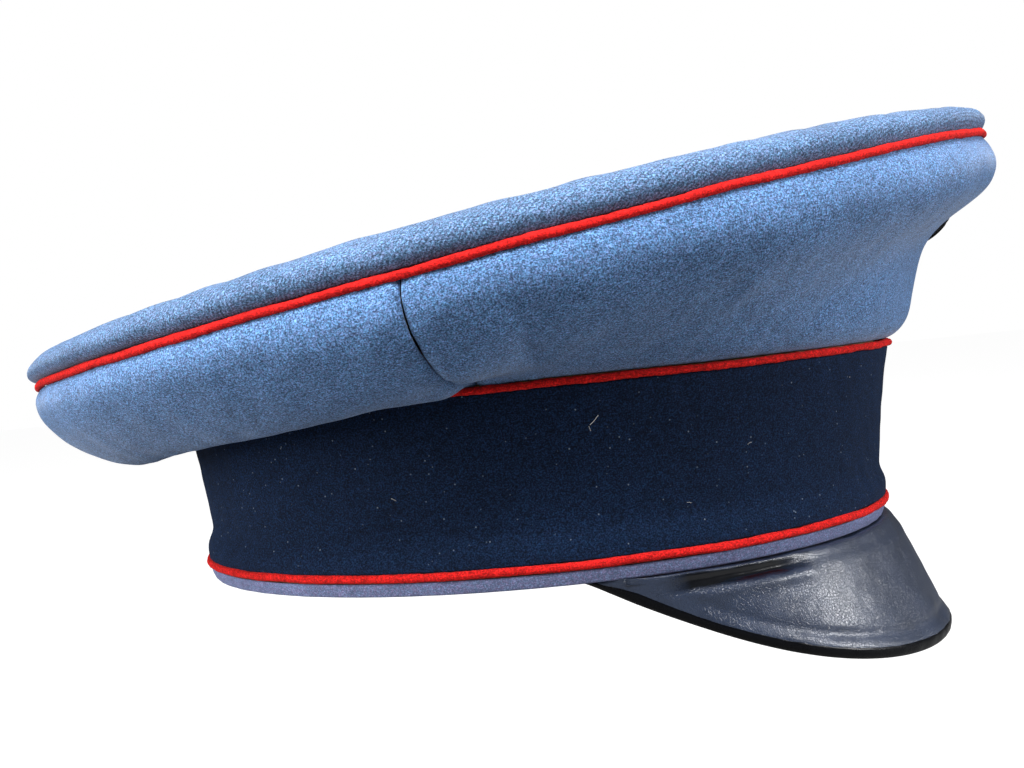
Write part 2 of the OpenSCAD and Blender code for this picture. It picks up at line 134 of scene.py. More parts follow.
def around(n):
    """Even angles round the cap."""
    return np.arange(n) * 360 / n


def bell(x, width):
    """1 at x = 0, and nearly 0 at twice the width."""
    return np.exp(-(x / width) ** 2)


def rise(x, reach):
    """0 at x = 0, rising evenly to 1 at the reach."""
    return np.clip(x / reach, 0, 1)


def vec(x, y, z):
    return np.stack(np.broadcast_arrays(x, y, z), -1).astype(float)


def unit(v):
    return v / np.maximum(np.linalg.norm(v, axis=-1, keepdims=True), 1e-12)


def half_len(z):
    return HALF_BASE + SPREAD * (np.maximum(z, 0) / BAND_TOP) ** 1.5


def shift_x(z):
    return SHIFT_BASE + LEAN * z / BAND_TOP


def flare(z):
    """Push outward of the cloth over the lower piping."""
    d = np.asarray(z, float) - LIP_Z
    above = np.exp(-(np.maximum(d, 0) / LIP_SPREAD) ** 4)
    return LIP_OUT * above * np.exp(-(np.minimum(d, 0) / LIP_UNDER) ** 2)


def wall(a, z, off=0.0):
    """Point on the band's plain wall, moved outward by off."""
    a, z, off = np.broadcast_arrays(np.asarray(a, float), np.asarray(z, float), off)
    return vec(
        shift_x(z) + (half_len(z) + off) * cosd(a),
        (half_len(z) * RATIO + off) * sind(a),
        z,
    )


def cloth_wall(a, z, off=0.0):
    """The same with the cloth's push outward over the lower piping."""
    return wall(a, z, off + flare(np.asarray(z, float)))


def plane_z(x):
    return WELT_Z + TILT * x


def welt(a, off=0.0, up=0.0):
    """Point on the welt seam."""
    x = CROWN_X + (CROWN_A + off) * cosd(a)
    return vec(x, (CROWN_B + off) * sind(a), plane_z(x) + up + SADDLE * cosd(2 * np.asarray(a)))


def side(a, t):
    """Outer face of the crown's side, from the band at t = 0 to the welt at t = 1."""
    a, t = np.broadcast_arrays(np.asarray(a, float), np.asarray(t, float))
    front = np.maximum(cosd(a), 0) ** 1.75
    rear = np.maximum(-cosd(a), 0) ** 0.6
    p = cloth_wall(a, SEAM_Z)
    q = welt(a, 0, -EDGE_STEP)
    out = np.zeros(a.shape)
    up = np.zeros(a.shape)
    for k in range(6):
        weight = math.comb(5, k) * t ** k * (1 - t) ** (5 - k)
        share, height = (
            front * FRONT_SHAPE[k][i] + rear * REAR_SHAPE[k][i]
            + (1 - front - rear) * SIDE_SHAPE[k][i]
            for i in (0, 1)
        )
        if k == 5:
            share, height = 1.0, q[..., 2] - p[..., 2]
        out += weight * share
        up += weight * height
    return vec(
        p[..., 0] + (q[..., 0] - p[..., 0]) * out,
        p[..., 1] + (q[..., 1] - p[..., 1]) * out,
        p[..., 2] + up,
    )


def outward(surface, a, t, step, low=-np.inf, high=np.inf):
    """Outward direction of a surface at the angle a and the place t up it."""
    t = np.asarray(t, float)
    across = surface(a + 0.5, t) - surface(a - 0.5, t)
    along = surface(a, np.minimum(t + step, high)) - surface(a, np.maximum(t - step, low))
    return unit(np.cross(across, along))


def side_out(a, t):
    return outward(side, a, t, 0.01, 0, 1)


# The top panel's rolled edge: height, bulge outside the welt, reach inside it; then the dome
ROLL_HEIGHT, ROLL_OUT, ROLL_IN, TOP_DOME = 9.25, 3.4, 6.8, 1.5


def top(a, q):
    """Outer face of the top panel: q is 0 to 1 over the rolled edge, 1 to 2 over the flat."""
    a, q = np.broadcast_arrays(np.asarray(a, float), np.asarray(q, float))
    roll_h = ROLL_HEIGHT - 0.48 * cosd(a) - 1.13 * cosd(2 * a)
    roll_o = ROLL_OUT - 1.4 * cosd(a)
    t = np.minimum(q, 1)
    weights = [(1 - t) ** 3, 3 * t * (1 - t) ** 2, 3 * t * t * (1 - t), t ** 3]
    inset = -roll_o * weights[1] - roll_o * weights[2] + ROLL_IN * weights[3]
    height = EDGE_STEP * weights[0] + 3 * weights[1] + (roll_h - 1) * weights[2]
    height = height + roll_h * weights[3]
    f = np.maximum(q - 1, 0)
    x = CROWN_X + (CROWN_A - inset) * cosd(a) * (1 - f)
    y = (CROWN_B - inset) * sind(a) * (1 - f)
    lift = height + TOP_DOME * sind(90 * f) + (ROLL_HEIGHT - roll_h) * np.minimum(1, 1.5 * f)
    return vec(x, y, plane_z(x) + lift + SADDLE * cosd(2 * a) * (1 - f) ** 2)


def top_out(a, q):
    return outward(top, a, q, 0.01, 0)


# The peak's reach forward, its fall, its half width, and the band's angle that it spans
PEAK_REACH, PEAK_DROP, PEAK_HALF, PEAK_SPAN = 114.5, 33.5, 87.0, 80.3


def peak_rim(p):
    """Free edge of the peak, p from -90 to 90 degrees round it."""
    c = np.maximum(cosd(p), 0)
    s = sind(p)
    return vec(
        7 + PEAK_REACH * c ** 0.776,
        PEAK_HALF * s * (1 - 0.03 * np.abs(s) ** 30),
        -0.6 - PEAK_DROP * np.maximum(1 - (1 - c) ** 2.1, 0) ** 0.8,
    )


def peak_root(p):
    """Where the peak meets the band."""
    return cloth_wall(np.asarray(p) * PEAK_SPAN / 90, -0.35, 0.3)


def peak_fall(p):
    return np.linalg.norm(peak_rim(p) - peak_root(p), axis=-1)


def bead(e):
    """Raised bead along the rim and the crease inside it, e from the rim."""
    return 0.5 * np.exp(-((e - 3.2) / 2) ** 2) - 0.3 * np.exp(-((e - 7.0) / 1.5) ** 2)


def peak_base(p, v):
    """Smooth face of the peak, lifted a little at the two tips."""
    p, v = np.broadcast_arrays(np.asarray(p, float), np.asarray(v, float))
    q = np.clip(1 - v, 0, None)
    root = peak_root(p)
    d = peak_rim(p) - root
    swell = 2.2 * sind(180 * q ** 0.37) * np.minimum(1, np.linalg.norm(d, axis=-1) / 15)
    near_tip = np.exp(-((90 - np.abs(p)) / 2.5) ** 2)
    swell = swell * (1 - 0.8 * near_tip)
    face = root + d * q[..., None] + vec(cosd(p), 0.8 * sind(p), 0.4) * swell[..., None]
    return face + vec(0, 0, 0.55 * near_tip)


def peak_out(p, v):
    return outward(peak_base, np.clip(p, -89.4, 89.4), v, 0.02, 0, 1)


def peak(p, v, off=0.0):
    """Upper face of the peak, v from 0 at the rim to 1 at the band, moved out by off."""
    p, v = np.broadcast_arrays(np.asarray(p, float), np.asarray(v, float))
    fall = peak_fall(p)
    lift = off + bead(v * fall) * np.minimum(1, fall / 30)
    return peak_base(p, v) + peak_out(p, v) * lift[..., None]


def lining(a, k, off=0.0):
    """Outer face of the lining's side, k from 0 at the band to 1 at the top piece."""
    p = wall(a, BAND_TOP, off - LINING_AT)
    x = p[..., 0] * 0.93
    q = vec(x, p[..., 1] * 0.93, plane_z(x) - 3.2)
    return p + (q - p) * np.asarray(k, float)[..., None]


def ceiling(a, f, drop=0.0):
    """Lining's top piece, f from 0 at its rim to 1 in the middle."""
    a, f = np.broadcast_arrays(np.asarray(a, float), np.asarray(f, float))
    e = lining(a, np.ones(a.shape))
    centre = shift_x(BAND_TOP) * 0.93
    x = e[..., 0] + (centre - e[..., 0]) * f
    return vec(x, e[..., 1] * (1 - f), plane_z(x) - 2.4 + 4 * (1 - (1 - f) ** 2) - drop)


# ---- Small relief ----

class Waves:
    """Smooth noise as a sum of plane waves with seeded directions, about -1 to 1."""

    def __init__(self, seed, size, count=14):
        rng = np.random.default_rng(seed)
        direction = unit(rng.normal(size=(count, 3)))
        length = size * rng.uniform(0.7, 1.6, count)
        self.k = direction * (2 * math.pi / length)[:, None]
        self.phase = rng.uniform(0, 2 * math.pi, count)
        self.scale = 1.4 / math.sqrt(count)

    def __call__(self, points):
        return np.sin(points @ self.k.T + self.phase).sum(-1) * self.scale


def rounded(d, h):
    """Share of the half thickness h left at distance d from a folded edge."""
    return np.sqrt(np.clip(1 - (1 - np.clip(d / h, 0, 1)) ** 2, 0.0016, 1))


EDGE_STEPS = [0, 0.06, 0.18, 0.36, 0.6, 0.9, 1.3, 1.9, 2.7, 3.8]


def between(length, count):
    """Distances along a line of that length: fine at both ends, even between them."""
    ends = np.array(EDGE_STEPS)
    middle = np.linspace(ends[-1], length - ends[-1], count + 2)[1:-1]
    return np.concatenate([ends, middle, length - ends[::-1]])


# ---- Meshes ----

def run(points):
    """Distance from the first row of points to each row, column by column."""
    steps = np.linalg.norm(np.diff(points, axis=0), axis=-1)
    return np.concatenate([np.zeros_like(steps[:1]), np.cumsum(steps, axis=0)])


def both_faces(middle, out, half, move=0.0, inner_move=None):
    """Outer and inner face of a layer, each moved outward from its middle surface."""
    inner_move = move if inner_move is None else inner_move
    outer = middle + out * np.asarray(move + half)[..., None]
    return outer, middle + out * np.asarray(inner_move - half)[..., None]


def grid_quads(rows, cols, wrap, start=0):
    """Quads of a grid of numbered points, closed round its columns if it wraps."""
    index = start + np.arange(rows * cols).reshape(rows, cols)
    if wrap:
        index = np.concatenate([index, index[:, :1]], 1)
    corners = index[:-1, :-1], index[:-1, 1:], index[1:, 1:], index[1:, :-1]
    return np.stack(corners, -1).reshape(-1, 4)


def strip(a, b):
    """Quads between two equal loops of point numbers."""
    return np.stack([a[:-1], a[1:], b[1:], b[:-1]], -1)


def loft_quads(n, sides, wrap=True):
    """Quads round a row of closed sections, the last joined to the first if it wraps."""
    quads = grid_quads(n, sides, True)
    if wrap:
        last = np.append(np.arange(sides), 0)
        quads = np.concatenate([quads, strip(last + (n - 1) * sides, last)])
    return quads


def make(name, points, quads, material, uv=None, others=()):
    """A smooth mesh object from points in millimetres."""
    mesh = bpy.data.meshes.new(name)
    faces = [tuple(f) for f in quads.tolist()] + [tuple(f) for f in others]
    mesh.from_pydata((np.asarray(points, float) * MM).tolist(), [], faces)
    if uv is not None:
        layer = mesh.uv_layers.new(name="cloth")
        layer.data.foreach_set("uv", np.asarray(uv, np.float32).ravel())
    mesh.shade_smooth()
    mesh.materials.append(material)
    mesh.validate()
    piece = bpy.data.objects.new(name, mesh)
    bpy.context.scene.collection.objects.link(piece)
    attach(piece, "root")
    return piece


def shell(name, outer, inner, material, u, v, wrap=False):
    """A closed layer between two grids of points, rows upward and columns round.

    u is the length along the columns and v along the rows, for the cloth's weave: one
    for each row, or a grid of them. A wrapped grid has one more u than columns.
    """
    rows, cols = outer.shape[:2]
    count = rows * cols
    points = np.concatenate([outer.reshape(-1, 3), inner.reshape(-1, 3)])
    front = grid_quads(rows, cols, wrap)
    back = grid_quads(rows, cols, wrap, count)[:, ::-1]
    index = np.arange(count).reshape(rows, cols)
    low, high = index[0], index[-1]
    if wrap:
        low, high = (np.append(row, row[0]) for row in (low, high))
    rims = [strip(low + count, low), strip(high, high + count)]
    if not wrap:
        first, last = index[:, 0], index[:, -1]
        rims += [strip(first, first + count), strip(last + count, last)]
    rims = np.concatenate(rims)
    u, v = np.broadcast_arrays(u, v if np.ndim(v) == 2 else np.reshape(v, (-1, 1)))
    corner = np.array([[0, 0], [0, 1], [1, 1], [1, 0]])
    across = cols if wrap else cols - 1
    r, c = np.divmod(np.arange((rows - 1) * across)[:, None], across)
    r, c = r + corner[:, 0], c + corner[:, 1]
    face_uv = np.stack([u[r, c], v[r, c]], -1)
    rim_uv = np.zeros((len(rims), 4, 2)) + face_uv[0, 0]
    uv = np.concatenate([face_uv, face_uv[:, ::-1], rim_uv])
    return make(name, points, np.concatenate([front, back, rims]), material, uv)


def disc(name, outer, inner, tips, material, uv=None):
    """A closed dish: rings of points from the rim inward, and a middle point each side.

    uv gives one pair for each point of outer, then one for its middle point.
    """
    rows, cols = outer.shape[:2]
    count = rows * cols
    points = np.concatenate([outer.reshape(-1, 3), inner.reshape(-1, 3), tips])
    rim = np.append(np.arange(cols), 0)
    quads = np.concatenate([
        grid_quads(rows, cols, True), grid_quads(rows, cols, True, count)[:, ::-1],
        strip(rim + count, rim),
    ])
    last = rim + count - cols
    tris = [(a, b, 2 * count) for a, b in zip(last[:-1], last[1:])]
    tris += [(b + count, a + count, 2 * count + 1) for a, b in zip(last[:-1], last[1:])]
    if uv is not None:
        place = np.concatenate([uv[:-1], uv[:-1], uv[-1:], uv[-1:]])
        uv = np.concatenate([place[quads.ravel()], place[np.array(tris).ravel()]])
    return make(name, points, quads, material, uv, tris)


def loft(name, sections, material, wrap=True):
    """A closed solid through closed sections, each listed outward side first, then up."""
    n, sides = sections.shape[:2]
    quads = loft_quads(n, sides, wrap)
    middle = sections.mean(1)
    length = run(np.concatenate([middle, middle[:1]]))
    girth = run(np.concatenate([sections[0], sections[0, :1]]))
    r, c = np.divmod(quads, sides)
    if wrap:
        r[-sides:, 2:] = n
    c = np.where((c == 0) & (c.max(1, keepdims=True) == sides - 1), sides, c)
    uv = np.stack([length[r], girth[c]], -1)[:, ::-1].reshape(-1, 2)
    points, tris = sections.reshape(-1, 3), []
    if not wrap:
        points = np.concatenate([points, middle[:1], middle[-1:]])
        first, tip, base = n * sides, n * sides + 1, (n - 1) * sides
        for k in range(sides):
            m = (k + 1) % sides
            tris += [(first, k, m), (tip, base + m, base + k)]
        uv = np.concatenate([uv, np.zeros((6 * sides, 2))])
    return make(name, points, quads[:, ::-1], material, uv, tris)


def tube_sections(line, radius, sides, wrap=True, squash=1.0):
    """Rings of points across a line, and the outward direction at each point."""
    line = np.asarray(line, float)
    if wrap:
        along = unit(np.roll(line, -1, 0) - np.roll(line, 1, 0))
    else:
        along = unit(np.gradient(line, axis=0))
    out = unit(np.cross(along, [0, 0, 1]))
    up = np.cross(out, along)
    w = np.radians(around(sides))[:, None]
    ring = np.cos(w) * out[:, None] + squash * np.sin(w) * up[:, None]
    return line[:, None] + np.reshape(radius, (-1, 1, 1)) * ring, ring


def strands(name, rings, material, cloth_size):
    """Many short closed tubes: points by strand, by ring along it, and round the ring."""
    n, sections, sides = rings.shape[:3]
    block = sections * sides
    starts = np.arange(n) * block
    quads = (grid_quads(sections, sides, True)[:, ::-1] + starts[:, None, None]).reshape(-1, 4)
    caps = []
    for start in starts.tolist():
        caps.append(tuple(range(start, start + sides)))
        caps.append(tuple(range(start + block - 1, start + block - 1 - sides, -1)))
    uv = np.zeros((len(quads) * 4 + len(caps) * sides, 2))
    uv[:len(quads) * 4] = np.tile([[0, 0], [1, 0], [1, 1], [0, 1]], (len(quads), 1)) * cloth_size
    return make(name, rings.reshape(-1, 3), quads, material, uv, caps)


def stitch_row(name, places, up, along, length, radius, material):
    """Short sewn stitches that rise out of the surface in the middle and dive at the ends."""
    share = np.linspace(-1, 1, 7)
    up, forward = unit(up)[:, None], unit(along)[:, None]
    arch = radius * (0.9 - 1.5 * share ** 4)
    line = places[:, None] + forward * (share * length / 2)[:, None] + up * arch[:, None]
    thick = radius * np.sqrt(np.clip(1.02 - share ** 4, 0.05, 1))
    w = np.radians(around(6))[:, None]
    ring = np.cos(w) * np.cross(forward, up) + np.sin(w) * up
    points = line[:, :, None] + thick[:, None, None] * ring[:, None]
    strands(name, points, material, 0.5)


def chaikin(points, times):
    """A closed outline with its corners cut."""
    for _ in range(times):
        ahead = np.roll(points, -1, 0)
        points = np.stack([0.75 * points + 0.25 * ahead, 0.25 * points + 0.75 * ahead], 1)
        points = points.reshape(-1, 2)
    return points


# ---- Materials ----

class Shader:
    """A procedural material under construction. Texture coordinates are in millimetres."""

    def __init__(self, name, colour, rough, **sockets):
        self.material = bpy.data.materials.new(name)
        self.material.use_nodes = True
        self.material.diffuse_color = (*colour, 1)
        self.tree = self.material.node_tree
        self.inputs = self.tree.nodes["Principled BSDF"].inputs
        self.inputs["Base Color"].default_value = (*colour, 1)
        self.inputs["Roughness"].default_value = rough
        for socket, value in sockets.items():
            self.inputs[socket.replace("_", " ")].default_value = value
        self.normal = None
        coordinates = self.add("ShaderNodeTexCoord")
        self.place = self.scaled(coordinates.outputs["Object"], (1 / MM,) * 3)

    def set(self, socket, value):
        """Links a socket to an output, or gives it a constant."""
        if isinstance(value, bpy.types.NodeSocket):
            self.tree.links.new(value, socket)
        else:
            socket.default_value = value

    def add(self, kind, inputs=None, **settings):
        """A node with its settings, and its inputs linked or given constants."""
        node = self.tree.nodes.new(kind)
        for key, value in settings.items():
            setattr(node, key, value)
        for key, value in (inputs or {}).items():
            self.set(node.inputs[key], value)
        return node

    def scaled(self, vector, scale, turn=0.0):
        turn = (0, 0, math.radians(turn))
        inputs = {"Vector": vector, "Scale": scale, "Rotation": turn}
        return self.add("ShaderNodeMapping", inputs).outputs["Vector"]

    def cloth_place(self, scale=(1, 1, 1), turn=0.0):
        """The length along and across the weave, in millimetres."""
        return self.scaled(self.add("ShaderNodeUVMap", uv_map="cloth").outputs["UV"], scale, turn)

    def noise(self, size, detail=2.0, rough=0.5, place=None, distortion=0.0):
        return self.add("ShaderNodeTexNoise", {
            "Vector": place or self.place, "Scale": 1 / size, "Detail": detail,
            "Roughness": rough, "Distortion": distortion,
        }).outputs["Fac"]

    def cells(self, size, feature="F1"):
        inputs = {"Vector": self.place, "Scale": 1 / size}
        return self.add("ShaderNodeTexVoronoi", inputs, feature=feature).outputs["Distance"]

    def stripes(self, size, place, distortion, wobble):
        """Ridges along the place's second axis, that far apart."""
        return self.add("ShaderNodeTexWave", {
            "Vector": place, "Scale": 2 * math.pi / 20 / size, "Distortion": distortion,
            "Detail": 2, "Detail Scale": wobble,
        }, wave_profile="SIN").outputs["Fac"]

    def math(self, operation, a, b=0.0, clamp=False):
        node = self.add("ShaderNodeMath", {0: a, 1: b}, operation=operation, use_clamp=clamp)
        return node.outputs[0]

    def sum(self, *terms):
        """Weighted sum of outputs, as pairs of output and weight."""
        total = self.math("MULTIPLY", *terms[0])
        for output, weight in terms[1:]:
            inputs = {0: output, 1: weight, 2: total}
            total = self.add("ShaderNodeMath", inputs, operation="MULTIPLY_ADD").outputs[0]
        return total

    def ramp(self, value, stops):
        """Colours or greys at given shares."""
        node = self.add("ShaderNodeValToRGB", {"Fac": value})
        elements = node.color_ramp.elements
        while len(elements) < len(stops):
            elements.new(0.5)
        for element, (at, colour) in zip(elements, stops):
            element.position = at
            if not hasattr(colour, "__len__"):
                colour = (colour,) * 3
            element.color = (*colour, 1)
        return node.outputs["Color"]

    def shades(self, terms, colour, dark, light, low=0.3, high=0.7):
        """A colour between two tones, by a weighted sum of outputs."""
        return self.ramp(self.sum(*terms), [(low, tone(colour, dark)), (high, tone(colour, light))])

    def window(self, value, reach, places):
        """1 between the middle two of four places, and 0 outside the outer two."""
        stops = [(place / reach, share) for place, share in zip(places, (0.0, 1.0, 1.0, 0.0))]
        return self.ramp(self.math("MULTIPLY", value, 1 / reach), stops)

    def blend(self, share, a, b, kind="MIX"):
        """Colour a with a share of colour b over it."""
        a, b = (c if isinstance(c, bpy.types.NodeSocket) else (*c, 1) for c in (a, b))
        inputs = {0: share, 6: a, 7: b}
        return self.add("ShaderNodeMix", inputs, data_type="RGBA", blend_type=kind).outputs[2]

    def times(self, a, b):
        return self.blend(1.0, a, b, "MULTIPLY")

    def painted_groove_shade(self):
        """Share of the peak's groove along the band that is painted near black, as painted shade
        and a painted dark reflection.
        """
        split = self.add("ShaderNodeSeparateXYZ", {0: self.cloth_place()})
        wander = self.math("MULTIPLY", self.noise(6, 2, 0.5), 1.2)
        down = self.math("ADD", split.outputs["Y"], wander)
        across = self.window(down, 10, (0.9, 1.7, 5, 6.2))
        angle = self.math("ABSOLUTE", split.outputs["X"])
        return self.math("MULTIPLY", across, self.window(angle, 100, (55, 64, 80, 84)))

    def colour(self, output):
        self.set(self.inputs["Base Color"], output)

    def roughness(self, value, low, high):
        node = self.add("ShaderNodeMapRange", {"Value": value, "To Min": low, "To Max": high})
        self.set(self.inputs["Roughness"], node.outputs["Result"])

    def bump(self, height, depth):
        """Relief of that depth in millimetres, on top of any relief so far."""
        inputs = {"Strength": 1.0, "Distance": depth * MM, "Height": height}
        if self.normal is not None:
            inputs["Normal"] = self.normal
        self.normal = self.add("ShaderNodeBump", inputs).outputs["Normal"]
        self.set(self.inputs["Normal"], self.normal)
        if self.inputs["Coat Weight"].default_value:
            self.set(self.inputs["Coat Normal"], self.normal)


def tone(colour, factor):
    return tuple(min(c * factor, 1) for c in colour)


def wool(name, colour, nap=1.0, tint=0.8, rib=0.0, rib_size=1.15, rib_turn=45, light=1.85,
         dark=0.3, lint=0.0, sheen=0.25, sheen_tint=(0.6, 0.75, 1.0), nap_size=0.4):
    """Felted wool: mixed light and dark fibres, a soft nap, and the twill's ribs under it."""
    s = Shader(
        name, colour, 0.92, Sheen_Weight=sheen, Sheen_Roughness=0.45,
        Sheen_Tint=(*sheen_tint, 1), Specular_IOR_Level=0.12,
    )
    fibre = s.noise(nap_size, 3, 0.62)
    strand = s.noise(nap_size, 2, 0.5, s.cloth_place((0.35, 1.5, 1), rib_turn - 14), 1.2)
    clumps = s.noise(2.4, 2, 0.6)
    patches = s.noise(26, 2, 0.5)
    mixed = s.sum((fibre, 0.74), (strand, 0.26))
    shade = s.ramp(mixed, [
        (0.38, tone(colour, dark)), (0.49, tone(colour, 0.9)), (0.57, tone(colour, light)),
        (0.66, tone(colour, light * 1.5)),
    ])
    mottle_and_unshaded = s.ramp(s.sum((clumps, 0.6), (patches, 0.4)), [(0.36, 0.84), (0.64, 1.16)])
    tints = s.ramp(s.noise(nap_size * 1.7, 2, 0.6), [
        (0.4, (1.22, 0.96, 0.98)), (0.5, (1, 1, 1)), (0.6, (0.86, 1.03, 1.0)),
    ])
    shade = s.blend(tint, s.times(shade, mottle_and_unshaded), tints, "MULTIPLY")
    if rib:
        ribs = s.stripes(rib_size, s.cloth_place(turn=rib_turn), 1.1, 1.4)
        threads = s.stripes(rib_size * 0.55, s.cloth_place(turn=rib_turn + 62), 1.5, 2.0)
        twill = s.sum((ribs, 0.75), (threads, 0.25))
        shown = s.ramp(s.noise(19, 2, 0.5), [(0.38, 0.35), (0.62, 1.0)])
        groove = s.ramp(twill, [(0.1, 1 - 0.5 * rib), (0.6, 1.0), (0.95, 1 + 0.18 * rib)])
        shade = s.times(shade, s.blend(shown, (1.0, 1.0, 1.0), groove))
        s.bump(twill, 0.11 * rib)
    if lint:
        specks = s.ramp(s.cells(2.1), [(0.0, 1.0), (0.06, 0.8), (0.13, 0.0)])
        kept = s.ramp(s.noise(3.5, 1, 0.5), [(0.5, 0.0), (0.6, 1.0)])
        amount = s.math("MULTIPLY", s.times(specks, kept), lint)
        shade = s.blend(amount, shade, (0.2, 0.25, 0.33))
    s.colour(shade)
    s.roughness(mixed, 0.84, 0.98)
    s.bump(s.sum((fibre, 0.6), (strand, 0.5), (clumps, 0.5)), 0.15 * nap)
    return s.material


def leather(name, colour, rough, grain=1.1, depth=0.05):
    """Smooth leather: a fine cell grain, pores, and slow changes of colour and polish."""
    s = Shader(name, colour, rough)
    patches = s.noise(22, 3, 0.55)
    fine = s.noise(0.6, 3, 0.6)
    creases = s.ramp(s.cells(grain, "DISTANCE_TO_EDGE"), [(0.0, 0.0), (0.16, 1.0)])
    shade = s.shades(((patches, 0.7), (fine, 0.3)), colour, 0.75, 1.25)
    s.colour(s.blend(0.35, shade, s.times(shade, creases)))
    s.roughness(s.sum((patches, 0.6), (fine, 0.4)), rough * 0.75, rough * 1.3)
    s.bump(s.sum((creases, 0.7), (fine, 0.5)), depth)
    return s.material


def lacquer(name, colour, rough, craze=0.006, coat=0.3, polish=0.12, gloss=0.4, streaks=0.0,
            slot=False):
    """Lacquered leather: a polished film over fine crazing, with rubbed and dusty places."""
    s = Shader(
        name, colour, rough, Coat_Weight=coat, Coat_Roughness=polish, Specular_IOR_Level=gloss,
    )
    lines = s.ramp(s.cells(0.75, "DISTANCE_TO_EDGE"), [(0.0, 0.0), (0.1, 1.0)])
    pores = s.noise(0.4, 2, 0.6)
    rubbed = s.noise(13, 3, 0.6)
    shade = s.shades(((rubbed, 0.6), (pores, 0.4)), colour, 0.8, 1.3, 0.35, 0.65)
    shade = s.blend(0.3, shade, s.times(shade, lines))
    dull = s.sum((rubbed, 0.5), (pores, 0.3))
    grain = s.sum((lines, 0.8), (pores, 0.8))
    drawn = s.noise(0.7, 3, 0.7, s.cloth_place((1.5, 0.3, 1), 12), 0.6)
    if slot:
        # Painted shade: the groove along the band is painted near black for the shade and dark
        # reflection in it; outside it the crazing and streaks stay.
        kept = s.painted_groove_shade()
        mottle_and_unshaded = s.math("SUBTRACT", 1.0, kept)
        shade = s.blend(kept, shade, tone(colour, 0.05))
        dull = s.math("SUBTRACT", dull, s.math("MULTIPLY", kept, 0.5), clamp=True)
        grain = s.math("MULTIPLY", grain, mottle_and_unshaded)
        drawn = s.math("MULTIPLY", drawn, mottle_and_unshaded)
    s.colour(shade)
    s.roughness(dull, rough * 0.6, rough * 1.5)
    s.bump(s.noise(5.5, 2, 0.5), 0.14)
    s.bump(grain, craze)
    s.bump(drawn, streaks)
    return s.material


def weave(name, colour, pitch, depth, rough=0.85, sheen=0.1, vary=0.18, **sockets):
    """Plain woven cloth with crossing threads."""
    s = Shader(name, colour, rough, Sheen_Weight=sheen, **sockets)
    warp = s.stripes(pitch, s.cloth_place(), 0.6, 1.5)
    weft = s.stripes(pitch, s.cloth_place(turn=90), 0.6, 1.5)
    slubs = s.noise(3.2, 3, 0.6)
    threads = s.math("MAXIMUM", warp, weft)
    terms = (threads, 0.5), (slubs, 0.3), (s.noise(24, 2, 0.5), 0.2)
    s.colour(s.shades(terms, colour, 1 - 2 * vary, 1 + vary, 0.25, 0.75))
    s.roughness(slubs, rough * 0.9, min(rough * 1.1, 1))
    s.bump(s.sum((threads, 0.8), (slubs, 0.3)), depth)
    return s.material


def metal(name, colour, rough):
    """Drawn metal: fine lines and dull patches."""
    s = Shader(name, colour, rough, Metallic=1.0)
    lines = s.noise(0.5, 3, 0.6, s.scaled(s.place, (1, 1, 12)))
    terms = (lines, 0.5), (s.noise(6, 3, 0.6), 0.5)
    s.colour(s.shades(terms, colour, 0.7, 1.1))
    s.roughness(s.sum(*terms), rough * 0.6, rough * 1.6)
    s.bump(lines, 0.01)
    return s.material


def board(name, colour):
    """Pressed board: matted short fibres."""
    s = Shader(name, colour, 0.88, Specular_IOR_Level=0.2)
    fibres = s.noise(0.9, 3, 0.65, s.scaled(s.place, (0.4, 0.4, 1.6)), 1.5)
    s.colour(s.shades(((fibres, 0.6), (s.noise(14, 2, 0.5), 0.4)), colour, 0.75, 1.2))
    s.roughness(fibres, 0.8, 0.95)
    s.bump(fibres, 0.05)
    return s.material


def clear_sheet(name):
    """Clear soft sheet, yellowed a little, with faint scratches."""
    s = Shader(
        name, (0.93, 0.88, 0.7), 0.16, Transmission_Weight=0.85, IOR=1.5, Alpha=0.42,
    )
    haze = s.noise(9, 3, 0.6)
    scratches = s.noise(0.7, 2, 0.5, s.scaled(s.place, (0.2, 3, 1), 25), 0.5)
    s.colour(s.ramp(haze, [(0.3, (0.9, 0.83, 0.62)), (0.7, (0.96, 0.93, 0.8))]))
    s.roughness(s.sum((haze, 0.6), (scratches, 0.4)), 0.1, 0.28)
    s.bump(s.sum((haze, 1.0), (scratches, 0.1)), 0.15)
    return s.material


# The top panel is the same cloth as the sides: its greyer, slightly darker colour is painted light,
# for the whitish sheen and stronger light on the top.
cloth_top = wool(
    "crown_cloth_top", (0.085, 0.15, 0.27), rib=0.6, rib_size=0.95, rib_turn=38, sheen=0.12,
    sheen_tint=(1.0, 0.95, 0.9),
)
cloth_side = wool(
    "crown_cloth_side", (0.08, 0.162, 0.322), rib=0.16, rib_turn=52, sheen_tint=(0.9, 0.92, 1.0),
)
navy = wool(
    "band_cloth_navy", (0.0034, 0.0106, 0.031), nap=0.8, rib=0.15, light=2.0, dark=0.35,
    lint=0.8, sheen=0.02, sheen_tint=(0.5, 0.65, 1.0),
)
red = wool(
    "piping_red", (0.58, 0.012, 0.011), nap=1.5, tint=0.0, light=1.3, dark=0.48, sheen=0.06,
    sheen_tint=(1.0, 0.35, 0.25), nap_size=0.5,
)
violet = wool(
    "edge_cloth_grey", (0.15, 0.175, 0.31), nap=0.8, light=1.35, dark=0.65, sheen=0.15,
    sheen_tint=(0.8, 0.8, 1.0),
)
canvas = weave("stiff_canvas", (0.6, 0.53, 0.38), 0.7, 0.12)
wadding = weave("cotton_wadding", (0.8, 0.77, 0.68), 2.4, 0.3, sheen=0.4, vary=0.08)
satin = weave(
    "lining_satin", (0.46, 0.29, 0.1), 0.38, 0.03, rough=0.42, sheen=0.3, Anisotropic=0.4,
)
thread = weave("sewing_thread", (0.55, 0.42, 0.24), 0.3, 0.08, rough=0.6, sheen=0.2)
